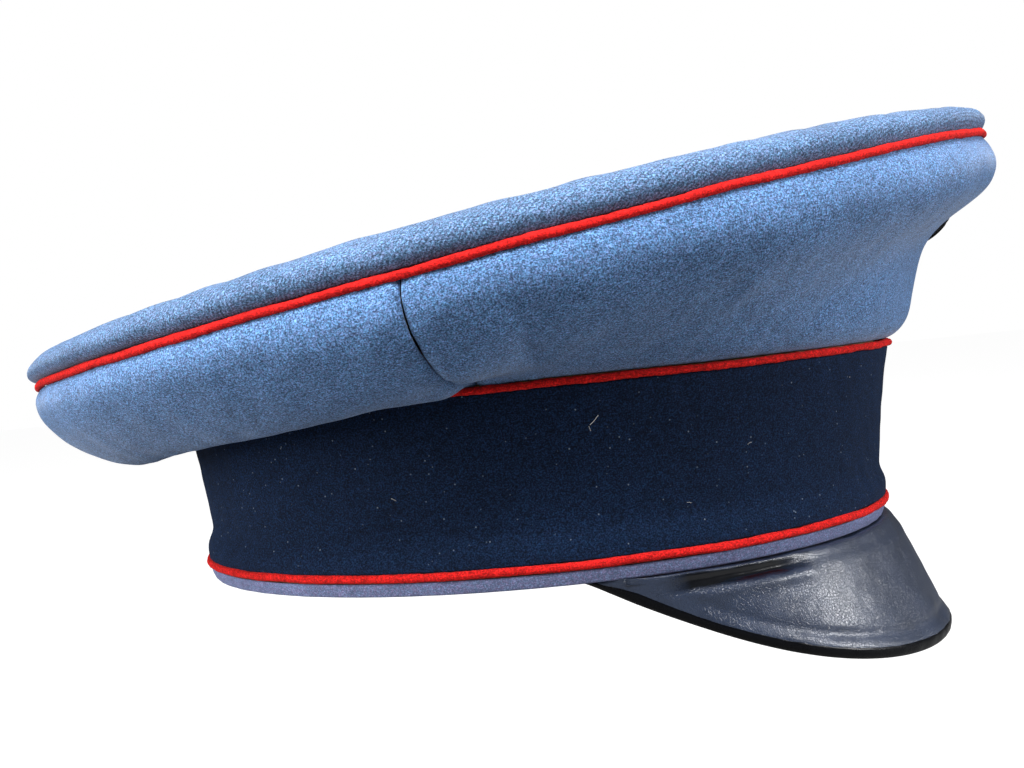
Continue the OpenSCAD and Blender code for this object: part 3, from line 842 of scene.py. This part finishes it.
white_fibre = weave("white_fibre", (0.95, 0.95, 0.93), 0.4, 0.01)
tan = leather("sweat_leather_tan", (0.33, 0.155, 0.06), 0.42)
brown = leather("tab_leather_brown", (0.19, 0.09, 0.04), 0.5)
underside = leather("peak_underside_black", (0.028, 0.028, 0.03), 0.38, grain=0.9, depth=0.03)
# The peak's slate base colour is partly the black lacquer's own and partly painted reflection of
# the room; slot paints the groove along the band near black as painted shade.
patent = lacquer(
    "peak_lacquer_black", (0.018, 0.028, 0.055), 0.36, craze=0.042, coat=0.38, polish=0.13,
    streaks=0.075, slot=True,
)
edge = lacquer("peak_edge_black", (0.0015, 0.0018, 0.003), 0.3, coat=0.08, gloss=0.1)
enamel = lacquer("cockade_enamel", (0.002, 0.002, 0.0025), 0.5, coat=0.03, gloss=0.08)
steel = metal("spring_steel", (0.5, 0.5, 0.52), 0.32)
brass = metal("plain_brass", (0.72, 0.52, 0.22), 0.3)
cane = board("split_cane", (0.62, 0.5, 0.3))
pressed = board("pressed_board", (0.42, 0.33, 0.2))
clear = clear_sheet("clear_sheet")


# ---- Camera, lights and floor ----

scene = bpy.context.scene
scene.view_settings.view_transform = "Standard"

EYE = Vector((-2.2753, -398.1186, 61.1105)) * MM
PITCH, YAW, ROLL = -0.032, -0.0079, -0.0991
LENS = 44.56


def camera_axes(pitch, yaw, roll):
    """Right, up and forward directions of a camera that looks along +Y at rest."""
    forward = Vector((
        math.sin(yaw) * math.cos(pitch), math.cos(yaw) * math.cos(pitch), math.sin(pitch)
    ))
    level = Vector((math.cos(yaw), -math.sin(yaw), 0))
    above = level.cross(forward)
    right = math.cos(roll) * level + math.sin(roll) * above
    up = -math.sin(roll) * level + math.cos(roll) * above
    return right, up, forward


lens = bpy.data.cameras.new("camera")
lens.lens = LENS
lens.sensor_width = 36
lens.clip_start = 0.01
camera = bpy.data.objects.new("camera", lens)
right, up, forward = camera_axes(PITCH, YAW, ROLL)
camera.matrix_world = Matrix((
    (right.x, up.x, -forward.x, EYE.x),
    (right.y, up.y, -forward.y, EYE.y),
    (right.z, up.z, -forward.z, EYE.z),
    (0, 0, 0, 1),
))
scene.collection.objects.link(camera)
scene.camera = camera

cap_middle = (cad_box[0] + cad_box[1]) / 2


def softbox(name, place, size, power, colour=(1, 1, 1)):
    """A square lamp that faces the middle of the cap."""
    light = bpy.data.lights.new(name, "AREA")
    light.shape = "RECTANGLE"
    light.size, light.size_y = size
    light.energy = power
    light.color = colour
    lamp = bpy.data.objects.new(name, light)
    lamp.location = Vector(place)
    lamp.rotation_euler = (cap_middle - lamp.location).to_track_quat("-Z", "Y").to_euler()
    scene.collection.objects.link(lamp)


softbox("key", (-0.1, -0.8, 1.25), (0.8, 0.6), 41.0)
softbox("overhead", (0.1, 0.1, 1.5), (1.3, 1.1), 6.0)
softbox("front", (1.37, -0.3, 0.42), (0.3, 0.6), 16.5, (0.97, 0.98, 1.0))
softbox("rear", (-1.3, -0.5, 0.4), (0.7, 0.8), 21.0)

# The room is a white backdrop that lights the cap only faintly
AMBIENT = 0.12
world = bpy.data.worlds.new("studio")
world.use_nodes = True
room = world.node_tree
dim = room.nodes["Background"]
dim.inputs["Color"].default_value = (1, 1, 1, 1)
dim.inputs["Strength"].default_value = AMBIENT
backdrop = room.nodes.new("ShaderNodeBackground")
backdrop.inputs["Color"].default_value = (1, 1, 1, 1)
either = room.nodes.new("ShaderNodeMixShader")
seen = room.nodes.new("ShaderNodeLightPath")
room.links.new(seen.outputs["Is Camera Ray"], either.inputs["Fac"])
room.links.new(dim.outputs["Background"], either.inputs[1])
room.links.new(backdrop.outputs["Background"], either.inputs[2])
room.links.new(either.outputs["Shader"], room.nodes["World Output"].inputs["Surface"])
scene.world = world

# The floor is as white to the camera, and throws back little light
FLOOR_Z = cad_box[0].z - 0.09
FLOOR_HALF = 6.0
FLOOR_GLOW = 0.95
pale = Shader("pale_floor", (0.93, 0.93, 0.93), 0.9, Emission_Color=(1, 1, 1, 1))
pale.colour(pale.ramp(pale.noise(400, 2, 0.5), [(0.3, 0.155), (0.7, 0.165)]))
floor_seen = pale.add("ShaderNodeLightPath").outputs["Is Camera Ray"]
pale.set(pale.inputs["Emission Strength"], pale.math("MULTIPLY", floor_seen, FLOOR_GLOW))
floor_mesh = bpy.data.meshes.new("floor")
floor_mesh.from_pydata(
    [(x * FLOOR_HALF, y * FLOOR_HALF, FLOOR_Z) for x, y in ((-1, -1), (1, -1), (1, 1), (-1, 1))],
    [], [(0, 1, 2, 3)],
)
floor_mesh.materials.append(pale.material)
floor = bpy.data.objects.new("floor", floor_mesh)
scene.collection.objects.link(floor)


# ---- Crown ----

def stands_for(piece, node):
    """Hides the CAD node that a piece stands in for."""
    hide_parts(node)


CROWN_MEAN = (CROWN_A + CROWN_B + HALF_TOP * (1 + RATIO)) / 4
DEGREE = CROWN_MEAN * math.pi / 180

# How far the cloth's edges are laid over against the piping, and how far in that reaches
EDGE_REACH, EDGE_FADE = 1.5, 2.6
# How far the side seam leans back at the welt, in degrees
SEAM_LEAN = 1.0
SEAM_GAP = 0.06


def rows_by_length(a, count):
    """Shares t up the crown's side for each row and column, with rows set by length."""
    fine = np.linspace(0, 1, 241)
    length = run(side(a[None, :], fine[:, None]))
    distance = np.stack([between(total, count) for total in length[-1]], 1)
    t = np.stack([np.interp(distance[:, i], length[:, i], fine) for i in range(len(a))], 1)
    return t, distance, length[-1]


def to_piping(edge, next_row, distance):
    """Slide along the cloth, greatest at its edge, that lays it against the piping."""
    return unit(edge - next_row) * (EDGE_REACH * np.exp(-distance / EDGE_FADE))[..., None]


def crown_panel(part, start, end, seed, columns):
    """One side panel of the crown, its four edges folded in at the seams."""
    width = (end - start) * DEGREE
    along = between(width, columns)
    a = start + along / DEGREE
    t, distance, total = rows_by_length(a, 46)
    beyond = np.abs(a) - SEAM_ANGLE
    a = a + np.sign(a) * SEAM_LEAN * t ** 1.3 * bell(beyond, 25)
    face, out = side(a, t), side_out(a, t)
    face = face + to_piping(face[-1], face[-2], total - distance)
    face = face + to_piping(face[0], face[1], distance)
    from_row = np.minimum(distance, total - distance)
    from_seam = np.minimum(along, width - along)[None, :] * (0.85 + 0.3 * t)
    half = CLOTH / 2 * rounded(from_row, CLOTH / 2) * rounded(from_seam, CLOTH / 2)
    sink = 0.42 * bell(from_seam, 1.3) - 0.16 * bell(from_seam - 4, 2)
    pull = 0.16 * Waves(seed + 5, 7.0)(face) * np.exp(-from_seam / 6) * rise(from_row, 3)
    soft = 0.42 * Waves(seed, 48)(face) * rise(from_row, 14)
    small = 0.09 * Waves(seed + 1, 9)(face) * rise(from_row, 5)
    puckers = 0.07 * Waves(seed + 2, 4.5)(face * [1, 1, 0.2]) * np.exp(-from_row / 3.5)
    # Behind the side seam the cloth sags over the band's piping
    behind = np.maximum(beyond, 0)
    sag = 3.3 * (1 - np.exp(-behind / 0.8)) * bell(behind, 16)
    droop = sag * bell(distance - 7, 5.5) * rise(distance, 3)
    move = soft + small + pull + puckers * rise(from_row, 1.2) - sink + droop
    outer, inner = both_faces(face - out * CLOTH / 2, out, half, move)
    piece = shell("crown_side_" + part, outer, inner, cloth_side, along, distance.mean(1))
    stands_for(piece, "crown_quarter_" + part)


for part, start, end, seed, columns in (
    ("front_left", 0, SEAM_ANGLE, 11, 150), ("front_right", -SEAM_ANGLE, 0, 12, 150),
    ("rear_left", SEAM_ANGLE, 180, 13, 130), ("rear_right", -180, -SEAM_ANGLE, 14, 130),
):
    crown_panel(part, start + SEAM_GAP, end - SEAM_GAP, seed, columns)


def dish(name, face, out, length, tip, flat, depth, thick, material, relief=None, fold=False):
    """A layer at a depth under a domed surface, in rings from the rim to the tip.

    length is the distance from the rim, and flat the weave's two lengths, each for every
    point and flat for the tip too.
    """
    half = thick / 2 * (rounded(length, thick / 2) if fold else np.ones(length.shape))
    move = relief(face, length) if relief else 0.0
    outer, inner = both_faces(face - out * (depth + thick / 2), out, half, move)
    tips = tip - np.array([[0, 0, depth], [0, 0, depth + thick]])
    return disc(name, outer, inner, tips, material, flat)


def top_layer(name, rows, depth, thick, material, relief=None):
    """An oval layer under the top panel's outer face. One with relief has a folded rim."""
    a = around(420)[None, :]
    q = np.asarray(rows)[:, None]
    face, out = top(a, q), top_out(a, q)
    length = run(face)
    if relief:
        face = face + to_piping(face[0], face[1], length)
    left = length[-1] - length
    flat = np.stack([left * cosd(a), left * sind(a)], -1).reshape(-1, 2)
    flat = np.append(flat, [[0, 0]], 0)
    fold = relief is not None
    return dish(name, face, out, length, top(0, 2), flat, depth, thick, material, relief, fold)


def top_relief(face, length):
    edge = rise(length, 3)
    middle = 1 - rise(length - 95, 30)
    uneven = 0.12 * Waves(21, 11)(face) * edge + 0.3 * Waves(23, 60)(face) * rise(length - 10, 25)
    return uneven * middle + 0.05 * Waves(22, 5.0)(face) * np.exp(-length / 4) * edge


crown_top = top_layer("crown_top", np.concatenate([
    [0, 0.006, 0.018, 0.035, 0.06, 0.09, 0.13], np.linspace(0.18, 1, 20),
    1 + np.linspace(0, 0.985, 72)[1:],
]), 0, CLOTH, cloth_top, top_relief)
stands_for(crown_top, "crown_top_panel")

top_canvas = top_layer(
    "top_interlining", 1 + np.linspace(0.06, 0.985, 40), CLOTH + GAP + 0.15, 0.6, canvas,
)
stands_for(top_canvas, "crown_top_interlining")


def front_canvas():
    """Stiff canvas behind the front of the crown."""
    reach, tall, thick = 56, 64, 0.6
    a = np.linspace(-reach, reach, 160)
    t = np.linspace(0.08, 0.92, 44)[:, None]
    face, out = side(a, t), side_out(a, t)
    depth = CLOTH + GAP + 0.25
    outer, inner = both_faces(face - out * (depth + thick / 2), out, thick / 2)
    piece = shell("front_interlining", outer, inner, canvas, (a + reach) * DEGREE, t * 62)
    stands_for(piece, "crown_front_interlining")


front_canvas()


def piping(name, node, line, radius, seed):
    """Felt folded over a cord, with a little unevenness along it."""
    line = line + [0, 0, 1] * (0.08 * Waves(seed + 4, 24)(line))[:, None]
    wide = radius * (1 + 0.035 * Waves(seed + 5, 13)(line))
    points, ring = tube_sections(line, wide, 16)
    felt = 0.6 * Waves(seed, 1.6)(points) + 0.5 * Waves(seed + 1, 5.0)(points)
    piece = loft(name, points + ring * (0.07 * felt)[..., None], red)
    stands_for(piece, node)


piping("welt_piping", "crown_welt_piping", welt(around(1500), -0.1), LOWER_R, 31)
piping("upper_piping", "band_upper_piping", wall(around(1100), BAND_TOP, UPPER_OUT), UPPER_R, 41)
piping("lower_piping", "band_lower_piping", cloth_wall(around(1100), LIP_Z, LOWER_OUT), LOWER_R, 51)


# ---- Band ----

BAND_GIRTH = 2 * math.pi * HALF_BASE * math.sqrt((1 + RATIO ** 2) / 2)


def band_cloth():
    """The band's cloth, closed round, its ends meeting in a sunk seam at the back."""
    along = between(BAND_GIRTH, 480)
    a = (-180 + 360 * along[:-1] / BAND_GIRTH)[None, :]
    low, high = LIP_Z + 1.0, BAND_TOP - 0.9
    up = between(high - low, 34)
    z = (low + up)[:, None]
    face, out = cloth_wall(a, z), outward(cloth_wall, a, z, 0.1)
    from_edge = np.minimum(up, high - low - up)[:, None]
    from_seam = np.minimum(along, BAND_GIRTH - along)[None, :-1]
    half = BAND_CLOTH / 2 * rounded(from_edge, BAND_CLOTH / 2) + 0 * a
    move = 0.22 * Waves(61, 38)(face) * rise(from_edge, 8)
    move += 0.06 * Waves(62, 7)(face) * rise(from_edge, 2)
    move -= 0.45 * bell(from_seam, 1.2) - 0.1 * bell(from_seam - 3.5, 2)
    outer, inner = both_faces(face - out * BAND_CLOTH / 2, out, half, move, np.minimum(move, 0.1))
    piece = shell("band_navy_cloth", outer, inner, navy, along, up, wrap=True)
    stands_for(piece, "band_cloth")


band_cloth()


def edge_binding():
    """Cloth strip folded round the lower edge."""
    top_z = LIP_Z - EDGE_STEP
    leg = STIFF_AT + BOARD_THICK + 0.4
    # Distance out from the band's wall and height, from the foot up the outside
    outline = chaikin(np.array([
        [flare(0) - 0.5, -0.05], [flare(0.4) - 0.05, 0.25], [flare(0.9), 0.8],
        [flare(2) + 0.12, 2], [flare(top_z) + 0.05, top_z - 0.3],
        [flare(top_z) - 0.3, top_z + 0.15], [flare(top_z) - 0.75, top_z - 0.2],
        [flare(1.6) - 0.8, 1.7], [-0.6, 0.85], [-leg + 0.3, 0.8], [-leg, 1.3], [-leg, 2.8],
        [-leg - 0.35, 3.05], [-leg - 0.7, 2.8], [-leg - 0.7, 0.7], [-leg - 0.3, 0.05],
        [-leg + 0.6, -0.02], [-0.8, -0.02],
    ]), 2)
    a = around(900)[:, None]
    sections = wall(a, outline[:, 1], outline[:, 0])
    uneven = 0.05 * Waves(71, 6)(sections)
    piece = loft("edge_strip", sections + vec(cosd(a), sind(a), 0) * uneven[..., None], violet)
    stands_for(piece, "band_edge_binding")


edge_binding()


# ---- Inside ----

SWEAT_FACE = -SWEAT_AT - SWEAT_THICK


def open_ring(name, ends, low, high, depth, thick, material, relief, rows=26, step=1.6):
    """A strip inside the band between two angles, its edges rounded."""
    start, end = ends
    width = (end - start) / 360 * BAND_GIRTH
    along = between(width, int(width / step))
    a = (start + along / width * (end - start))[None, :]
    up = between(high - low, rows)
    z = (low + up)[:, None]
    face, out = wall(a, z), outward(wall, a, z, 0.1)
    from_edge = np.minimum(up, high - low - up)[:, None]
    from_end = np.minimum(along, width - along)[None, :]
    half = thick / 2 * rounded(from_edge, thick / 2) * rounded(from_end, thick / 2)
    middle = face - out * (depth + thick / 2)
    outer, inner = both_faces(middle, out, half, 0.0, relief(face, up[:, None]))
    return shell(name, outer, inner, material, along, up)


def sweat_relief(face, up):
    """Two tooled lines near the top and the sewn line near the foot."""
    pressed_in = 0.13 * (bell(up - 33.4, 0.35) + bell(up - 31.9, 0.35)) + 0.12 * bell(up - 3, 0.6)
    return pressed_in + 0.05 * Waves(81, 16)(face)


sweatband = open_ring(
    "sweatband_leather", (-179.1, 179.1), 2, 38, SWEAT_AT, SWEAT_THICK, tan, sweat_relief,
)
stands_for(sweatband, "sweatband")

reed_line = wall(np.linspace(-179, 179, 560), 1.1, SWEAT_FACE + SWEAT_THICK / 2)
reed = loft("sweatband_cane", tube_sections(reed_line, 0.6, 12, wrap=False)[0], cane, wrap=False)
stands_for(reed, "sweatband_reed")

tab = open_ring(
    "sweatband_tab", (174, 186), 5, 28, LINING_AT, 0.4, brown,
    lambda face, up: 0.04 * Waves(84, 6)(face), rows=16, step=0.8,
)
stands_for(tab, "sweatband_rear_tab")


def sweatband_stitches():
    """The row of stitches that holds the sweatband to the band."""
    a, z, off = np.linspace(-177.5, 177.5, 176), 5.0, SWEAT_FACE + 0.1
    along = wall(a + 0.2, z, off) - wall(a - 0.2, z, off)
    inward = -outward(wall, a, np.full(a.shape, z), 0.1)
    stitch_row(
        "sweatband_stitching", wall(a, z, off), inward, along, 2.3, 0.22, thread,
    )


def rear_lace():
    """Waxed thread laced across the meeting ends of the sweatband."""
    z = np.repeat([9, 14, 19, 24, 29, 33], 2).astype(float)
    lean = np.tile([1, -1], 6)
    places = wall(180, z, SWEAT_FACE - 0.05) + vec(0.15 * (1 - lean), 0, 0)
    inward = np.tile([1.0, 0, 0], (len(z), 1))
    along = vec(0, 1, 0.55 * lean)
    stitch_row("sweatband_lace", places, inward, along, 5.0, 0.27, thread)


sweatband_stitches()
rear_lace()


def lining_half(name, node, start, end, seed):
    """Half of the lining's side, drawn into soft gathers towards the top piece."""
    width, tall, thick = (end - start) / 360 * BAND_GIRTH, 64, 0.34
    a = np.linspace(start, end, 260)
    low = np.linspace(30, BAND_TOP, 14)[:-1, None]
    high = np.linspace(0, 1, 26)
    face = np.concatenate([wall(a, low, -LINING_AT), [lining(a, np.full(260, k)) for k in high]])
    up = np.concatenate([np.zeros(len(low)), high])[:, None]
    along = np.gradient(face, axis=0)
    out = unit(np.cross(np.gradient(face, axis=1), along))
    gathers = np.sin(np.radians(a) * 58 + 1.6 * Waves(seed, 30)(face[-1]))[None, :]
    fade = np.minimum(1, (1 - up) * 12)
    move = 0.32 * gathers * up ** 1.5 * fade
    move += 0.3 * Waves(seed + 1, 26)(face) * np.sin(math.pi * up)
    move -= 0.12 * bell(np.minimum(a - start, end - a), 0.5) + thick
    outer, inner = both_faces(face, out, thick / 2, move)
    piece = shell(
        name, outer, inner, satin, (a - start) / (end - start) * width,
        np.linalg.norm(along, axis=-1).mean(1).cumsum(),
    )
    stands_for(piece, node)


lining_half("lining_left", "lining_side_left", 0.08, 179.92, 91)
lining_half("lining_right", "lining_side_right", -179.92, -0.08, 95)


def ceiling_layer(name, node, rows, depth, material, relief, fold):
    """An oval sheet under the lining's top piece."""
    face = ceiling(around(240)[None, :], np.asarray(rows)[:, None])
    tip = ceiling(0, 1)
    flat = np.append(face[..., :2].reshape(-1, 2), [tip[:2]], 0)
    up = np.array([0, 0, 1])
    piece = dish(name, face, up, run(face), tip, flat, depth, 0.4, material, relief, fold)
    stands_for(piece, node)


def quilted(face, length):
    soft = 0.25 * Waves(101, 22)(face) * rise(length, 12)
    rim = 0.18 * np.sin(np.arctan2(face[..., 1], face[..., 0]) * 58) * np.exp(-length / 7)
    return (soft + rim * rise(length, 2)) * rise(length[-1] - length + 2, 20)


SHIELD_DROP = 0.9
ceiling_layer(
    "lining_crown", "lining_top", np.linspace(0, 0.985, 56), 0, satin,
    quilted, False,
)
ceiling_layer(
    "clear_shield", "sweat_shield", np.linspace(0.42, 0.985, 40), SHIELD_DROP,
    clear, lambda face, length: -0.1 * np.abs(Waves(103, 26)(face)), True,
)

shield_angles = around(104)
stitch_row(
    "shield_stitching", ceiling(shield_angles, 0.45, SHIELD_DROP + 0.4),
    np.tile([0, 0, -1.0], (104, 1)),
    ceiling(shield_angles + 0.5, 0.45) - ceiling(shield_angles - 0.5, 0.45),
    2.4, 0.2, thread,
)


# ---- Wadding over the spring wire, puffed between its ties ----

PUFF_ROOM = 0.34


def puffed(sections, tied):
    """Sections inflated as cloth, held where tied, with no point moved past its room."""
    blow, steps = 10.0, 16
    n, sides = sections.shape[:2]
    start = sections.reshape(-1, 3)
    mesh = bpy.data.meshes.new("wadding_trial")
    mesh.from_pydata((start * MM * blow).tolist(), [], loft_quads(n, sides)[:, ::-1].tolist())
    trial = bpy.data.objects.new("wadding_trial", mesh)
    scene.collection.objects.link(trial)
    ties = trial.vertex_groups.new(name="ties")
    ties.add(np.flatnonzero(np.repeat(tied, sides)).tolist(), 1.0, "REPLACE")
    cloth = trial.modifiers.new("cloth", "CLOTH")
    cloth.settings.use_pressure = True
    cloth.settings.uniform_pressure_force = 6.0
    cloth.settings.effector_weights.gravity = 0
    cloth.settings.tension_stiffness = 8
    cloth.settings.vertex_group_mass = "ties"
    cloth.settings.pin_stiffness = 1.0
    cloth.point_cache.frame_start = 1
    cloth.point_cache.frame_end = steps
    for step in range(1, steps + 1):
        scene.frame_set(step)
    solved = trial.evaluated_get(bpy.context.evaluated_depsgraph_get())
    done = solved.to_mesh()
    moved = np.empty(len(done.vertices) * 3)
    done.vertices.foreach_get("co", moved)
    solved.to_mesh_clear()
    scene.frame_set(1)
    bpy.data.objects.remove(trial)
    bpy.data.meshes.remove(mesh)
    shift = moved.reshape(-1, 3) / (MM * blow) - start
    far = np.linalg.norm(shift, axis=1, keepdims=True)
    shift *= np.minimum(1, PUFF_ROOM / np.maximum(far, 1e-9))
    return (start + shift).reshape(n, sides, 3)


def wadding_ring():
    """Cotton wadding round the spring wire, drawn in by 28 ties."""
    a = around(640)
    pinch = 0.5 + 0.5 * np.cos(np.radians(a) * 28)
    radius = 2.1 - 0.35 * pinch ** 6
    sections, ring = tube_sections(welt(a, -5.2, 3.2), radius, 14, squash=0.7)
    sections = puffed(sections, pinch > 0.97)
    tufts = 0.05 * Waves(111, 2.6)(sections)
    piece = loft("rim_wadding", sections + ring * tufts[..., None], wadding)
    stands_for(piece, "crown_hoop_padding")


wadding_ring()


# ---- Peak ----

PEAK_END = 89.95


def peak_layer(name, node, end, first, last, depth, thick, material, columns, rows,
               relief=None, flange=False):
    """A layer of the peak from a distance inside the rim up to a share of its fall.

    A flange runs in under the band from its upper edge.
    """
    spread = 0.8 * sind(np.linspace(-90, 90, columns)) + 0.2 * np.linspace(-1, 1, columns)
    p = end * spread[None, :]
    fall = peak_fall(p)
    begin = first / fall
    share = np.concatenate([[0, 0.004, 0.01, 0.018, 0.028], np.linspace(0.04, 1, rows)])[:, None]
    v = begin + (last - begin) * share
    from_band = (1 - v) * fall
    half = thick / 2 * rounded((v - begin) * fall, thick / 2)
    half = half * rounded((end - np.abs(p)) * 1.6, thick / 2)
    move = relief(p, v, fall) if relief else 0.0
    middle = peak(p, v, -depth - thick / 2)
    outer, inner = both_faces(middle, peak_out(p, v), half, move, move * 0.3)
    if flange:
        root = np.repeat(cloth_wall(p * PEAK_SPAN / 90, -0.35, -3.4), 4, 0)
        s = np.linspace(0.25, 1, 4)[:, None, None]
        outer = np.concatenate([outer, outer[-1:] + (root - outer[-1:]) * s])
        inner = np.concatenate([inner, inner[-1:] + (root - [0, 0, thick] - inner[-1:]) * s])
        from_band = np.concatenate([from_band, np.zeros((4, columns))])
    stands_for(shell(name, outer, inner, material, p[0], from_band), node)


def peak_relief(p, v, fall):
    """The groove pressed in along the band, deepest near its ends, and small dents."""
    below = (1 - v) * fall
    near_ends = np.exp(-((np.abs(p) - 72) / 12) ** 4)
    groove = (-0.2 - 1.3 * near_ends) * bell(below - 3.0, 1.9)
    groove = groove + (0.15 + 0.45 * near_ends) * bell(below - 6.6, 1.7)
    points = peak_base(p, v)
    dents = 0.1 * Waves(121, 20)(points) + 0.035 * Waves(122, 6.5)(points)
    calm = rise(fall, 30) * rise(88 - np.abs(p), 8)
    return calm * (groove + dents) * rise(v * fall - 1, 4)


peak_layer(
    "peak_lacquered", "peak_shell", PEAK_END, 1.3, 1, 0, PEAK_THICK,
    patent, 420, 110, peak_relief, flange=True,
)
peak_layer(
    "peak_underside", "peak_lining", 83, 3.2, 0.86, PEAK_THICK + 0.2, 0.6,
    underside, 220, 40,
)

# Outline of the edge binding: distance in from the rim, height over the peak's face
RIM_OUTLINE = chaikin(np.array([
    [3.1, -0.25], [3.0, 0.02], [2.6, 0.16], [2.0, 0.18], [1.4, 0.04], [0.8, -0.25], [0.35, -0.65],
    [0.08, -1.15], [0.25, -1.7], [0.9, -2.05], [2.0, -2.15], [2.9, -2.1], [3.0, -1.7],
    [2.4, -0.9],
]), 2)
rim_p = (PEAK_END * sind(np.linspace(-90, 90, 620)))[:, None]
rim_in = RIM_OUTLINE[:, 0] / peak_fall(rim_p)
rim_points = peak(rim_p, rim_in, RIM_OUTLINE[:, 1])
uneven = 0.03 * Waves(131, 5)(rim_points)
rim_points = rim_points + peak_out(rim_p, rim_in) * uneven[..., None]
stands_for(loft("peak_rim", rim_points, edge, wrap=False), "peak_rim_binding")

seam_p = np.linspace(-78, 78, 92)
seam_v = 5.2 / peak_fall(seam_p)
stitch_row(
    "peak_stitching", peak(seam_p, seam_v, -PEAK_THICK - 0.78), -peak_out(seam_p, seam_v),
    peak(seam_p + 0.5, seam_v) - peak(seam_p - 0.5, seam_v), 2.0, 0.19, underside,
)


# ---- Cockade ----

COCKADE_AT = 0.57
COCKADE_HEIGHT = 0.88
COCKADE_FOOT = 0.95
seat, seat_out = side(0.0, COCKADE_AT), side_out(0.0, COCKADE_AT)
lean = math.atan2(seat_out[0], seat_out[2])


def from_seat(points):
    """Points of the cockade's own frame, local Z out of the cloth, put on the cap."""
    turn = np.array([
        [math.cos(lean), 0, math.sin(lean)], [0, 1, 0], [-math.sin(lean), 0, math.cos(lean)]
    ])
    return np.asarray(points) @ turn.T + seat


def turned(outline, steps, flutes=0, depth=0.0):
    """An outline of radii and heights turned round, with pressed radial flutes."""
    a = around(steps)[:, None]
    r, z = outline.T
    shown = rise(z - 1.2, 0.8) * rise(r - 1.5, 2.5)
    z = z - depth * np.abs(sind(a * flutes / 2)) * shown
    return from_seat(vec(r * cosd(a), r * sind(a), z))


def cockade():
    """A plain black ring with flutes, round a smooth dome."""
    ring = np.array([
        [5.5, 0.75], [7.5, 0.75], [9.4, 0.8], [9.8, 1.0], [9.95, 1.35], [9.85, 1.8], [9.55, 2.15],
        [9.2, 2.25], [8.9, 2.2], [8.2, 2.6], [7.4, 3.1], [6.6, 3.55], [5.9, 3.9], [5.6, 3.8],
        [5.5, 3.4],
    ])
    ring = turned(ring * [1, COCKADE_HEIGHT], 480, 48, 0.3)
    stands_for(loft("cockade_rays", ring, enamel), "cockade_ring")
    dome = np.array([
        [5.1, 1.1], [5.15, 2.4], [5.12, 3.6], [5.0, 4.05], [4.7, 4.35], [4.2, 4.58], [3.6, 4.72],
        [2.8, 4.9], [2.0, 5.02], [1.2, 5.1], [0.5, 5.15],
    ])
    upper, lower = (
        turned(dome * [1, scale] + [0, foot], 96).swapaxes(0, 1)
        for scale, foot in ((COCKADE_HEIGHT, 0), (0, COCKADE_FOOT))
    )
    tips = from_seat([[0, 0, 4.55], [0, 0, COCKADE_FOOT]])
    piece = disc("cockade_dome", upper, lower, tips, enamel)
    stands_for(piece, "cockade_centre")


cockade()


# ---- Lint caught on the band ----

def lint():
    """A few loose fibres lying on the dark cloth."""
    rng = np.random.default_rng(141)
    share = np.linspace(-0.5, 0.5, 9)
    fibres = []
    # Angle, height, length, slant and thickness of each
    for a, z, length, slant, thick in (
        (-83.3, 40.3, 3.0, 48, 0.08), (-83.9, 38.2, 1.3, -70, 0.04), (-60, 30, 1.2, 20, 0.05),
        (-112, 25, 1.4, -30, 0.05), (-44, 21, 1.1, 75, 0.05), (-38, 43, 1.0, 10, 0.05),
        (-97, 16, 1.5, 60, 0.05), (-70, 17, 1.2, -15, 0.05), (60, 32, 1.6, 40, 0.05),
        (95, 20, 1.4, -50, 0.05), (128, 36, 1.2, 15, 0.05), (160, 22, 1.5, 70, 0.05),
    ):
        bend = rng.uniform(-0.25, 0.25) * (share * 2) ** 2
        a_line = a + length * share * cosd(slant) / DEGREE * 1.2
        z_line = z + length * share * sind(slant) + bend
        line = cloth_wall(a_line, z_line, 0.12 + 0.12 * np.cos(share * 6))
        fibres.append(tube_sections(line, thick, 6, wrap=False)[0])
    strands("band_lint", np.array(fibres), white_fibre, 0.0)


lint()


# ---- CAD nodes that stay, with better materials ----

for node, material in (
    ("crown_hoop_wire", steel), ("crown_hoop_ferrule", brass), ("front_stay", steel),
    ("band_stiffener", pressed), ("cockade_prongs", brass),
):
    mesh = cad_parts[node].data
    mesh.materials.clear()
    mesh.materials.append(material)
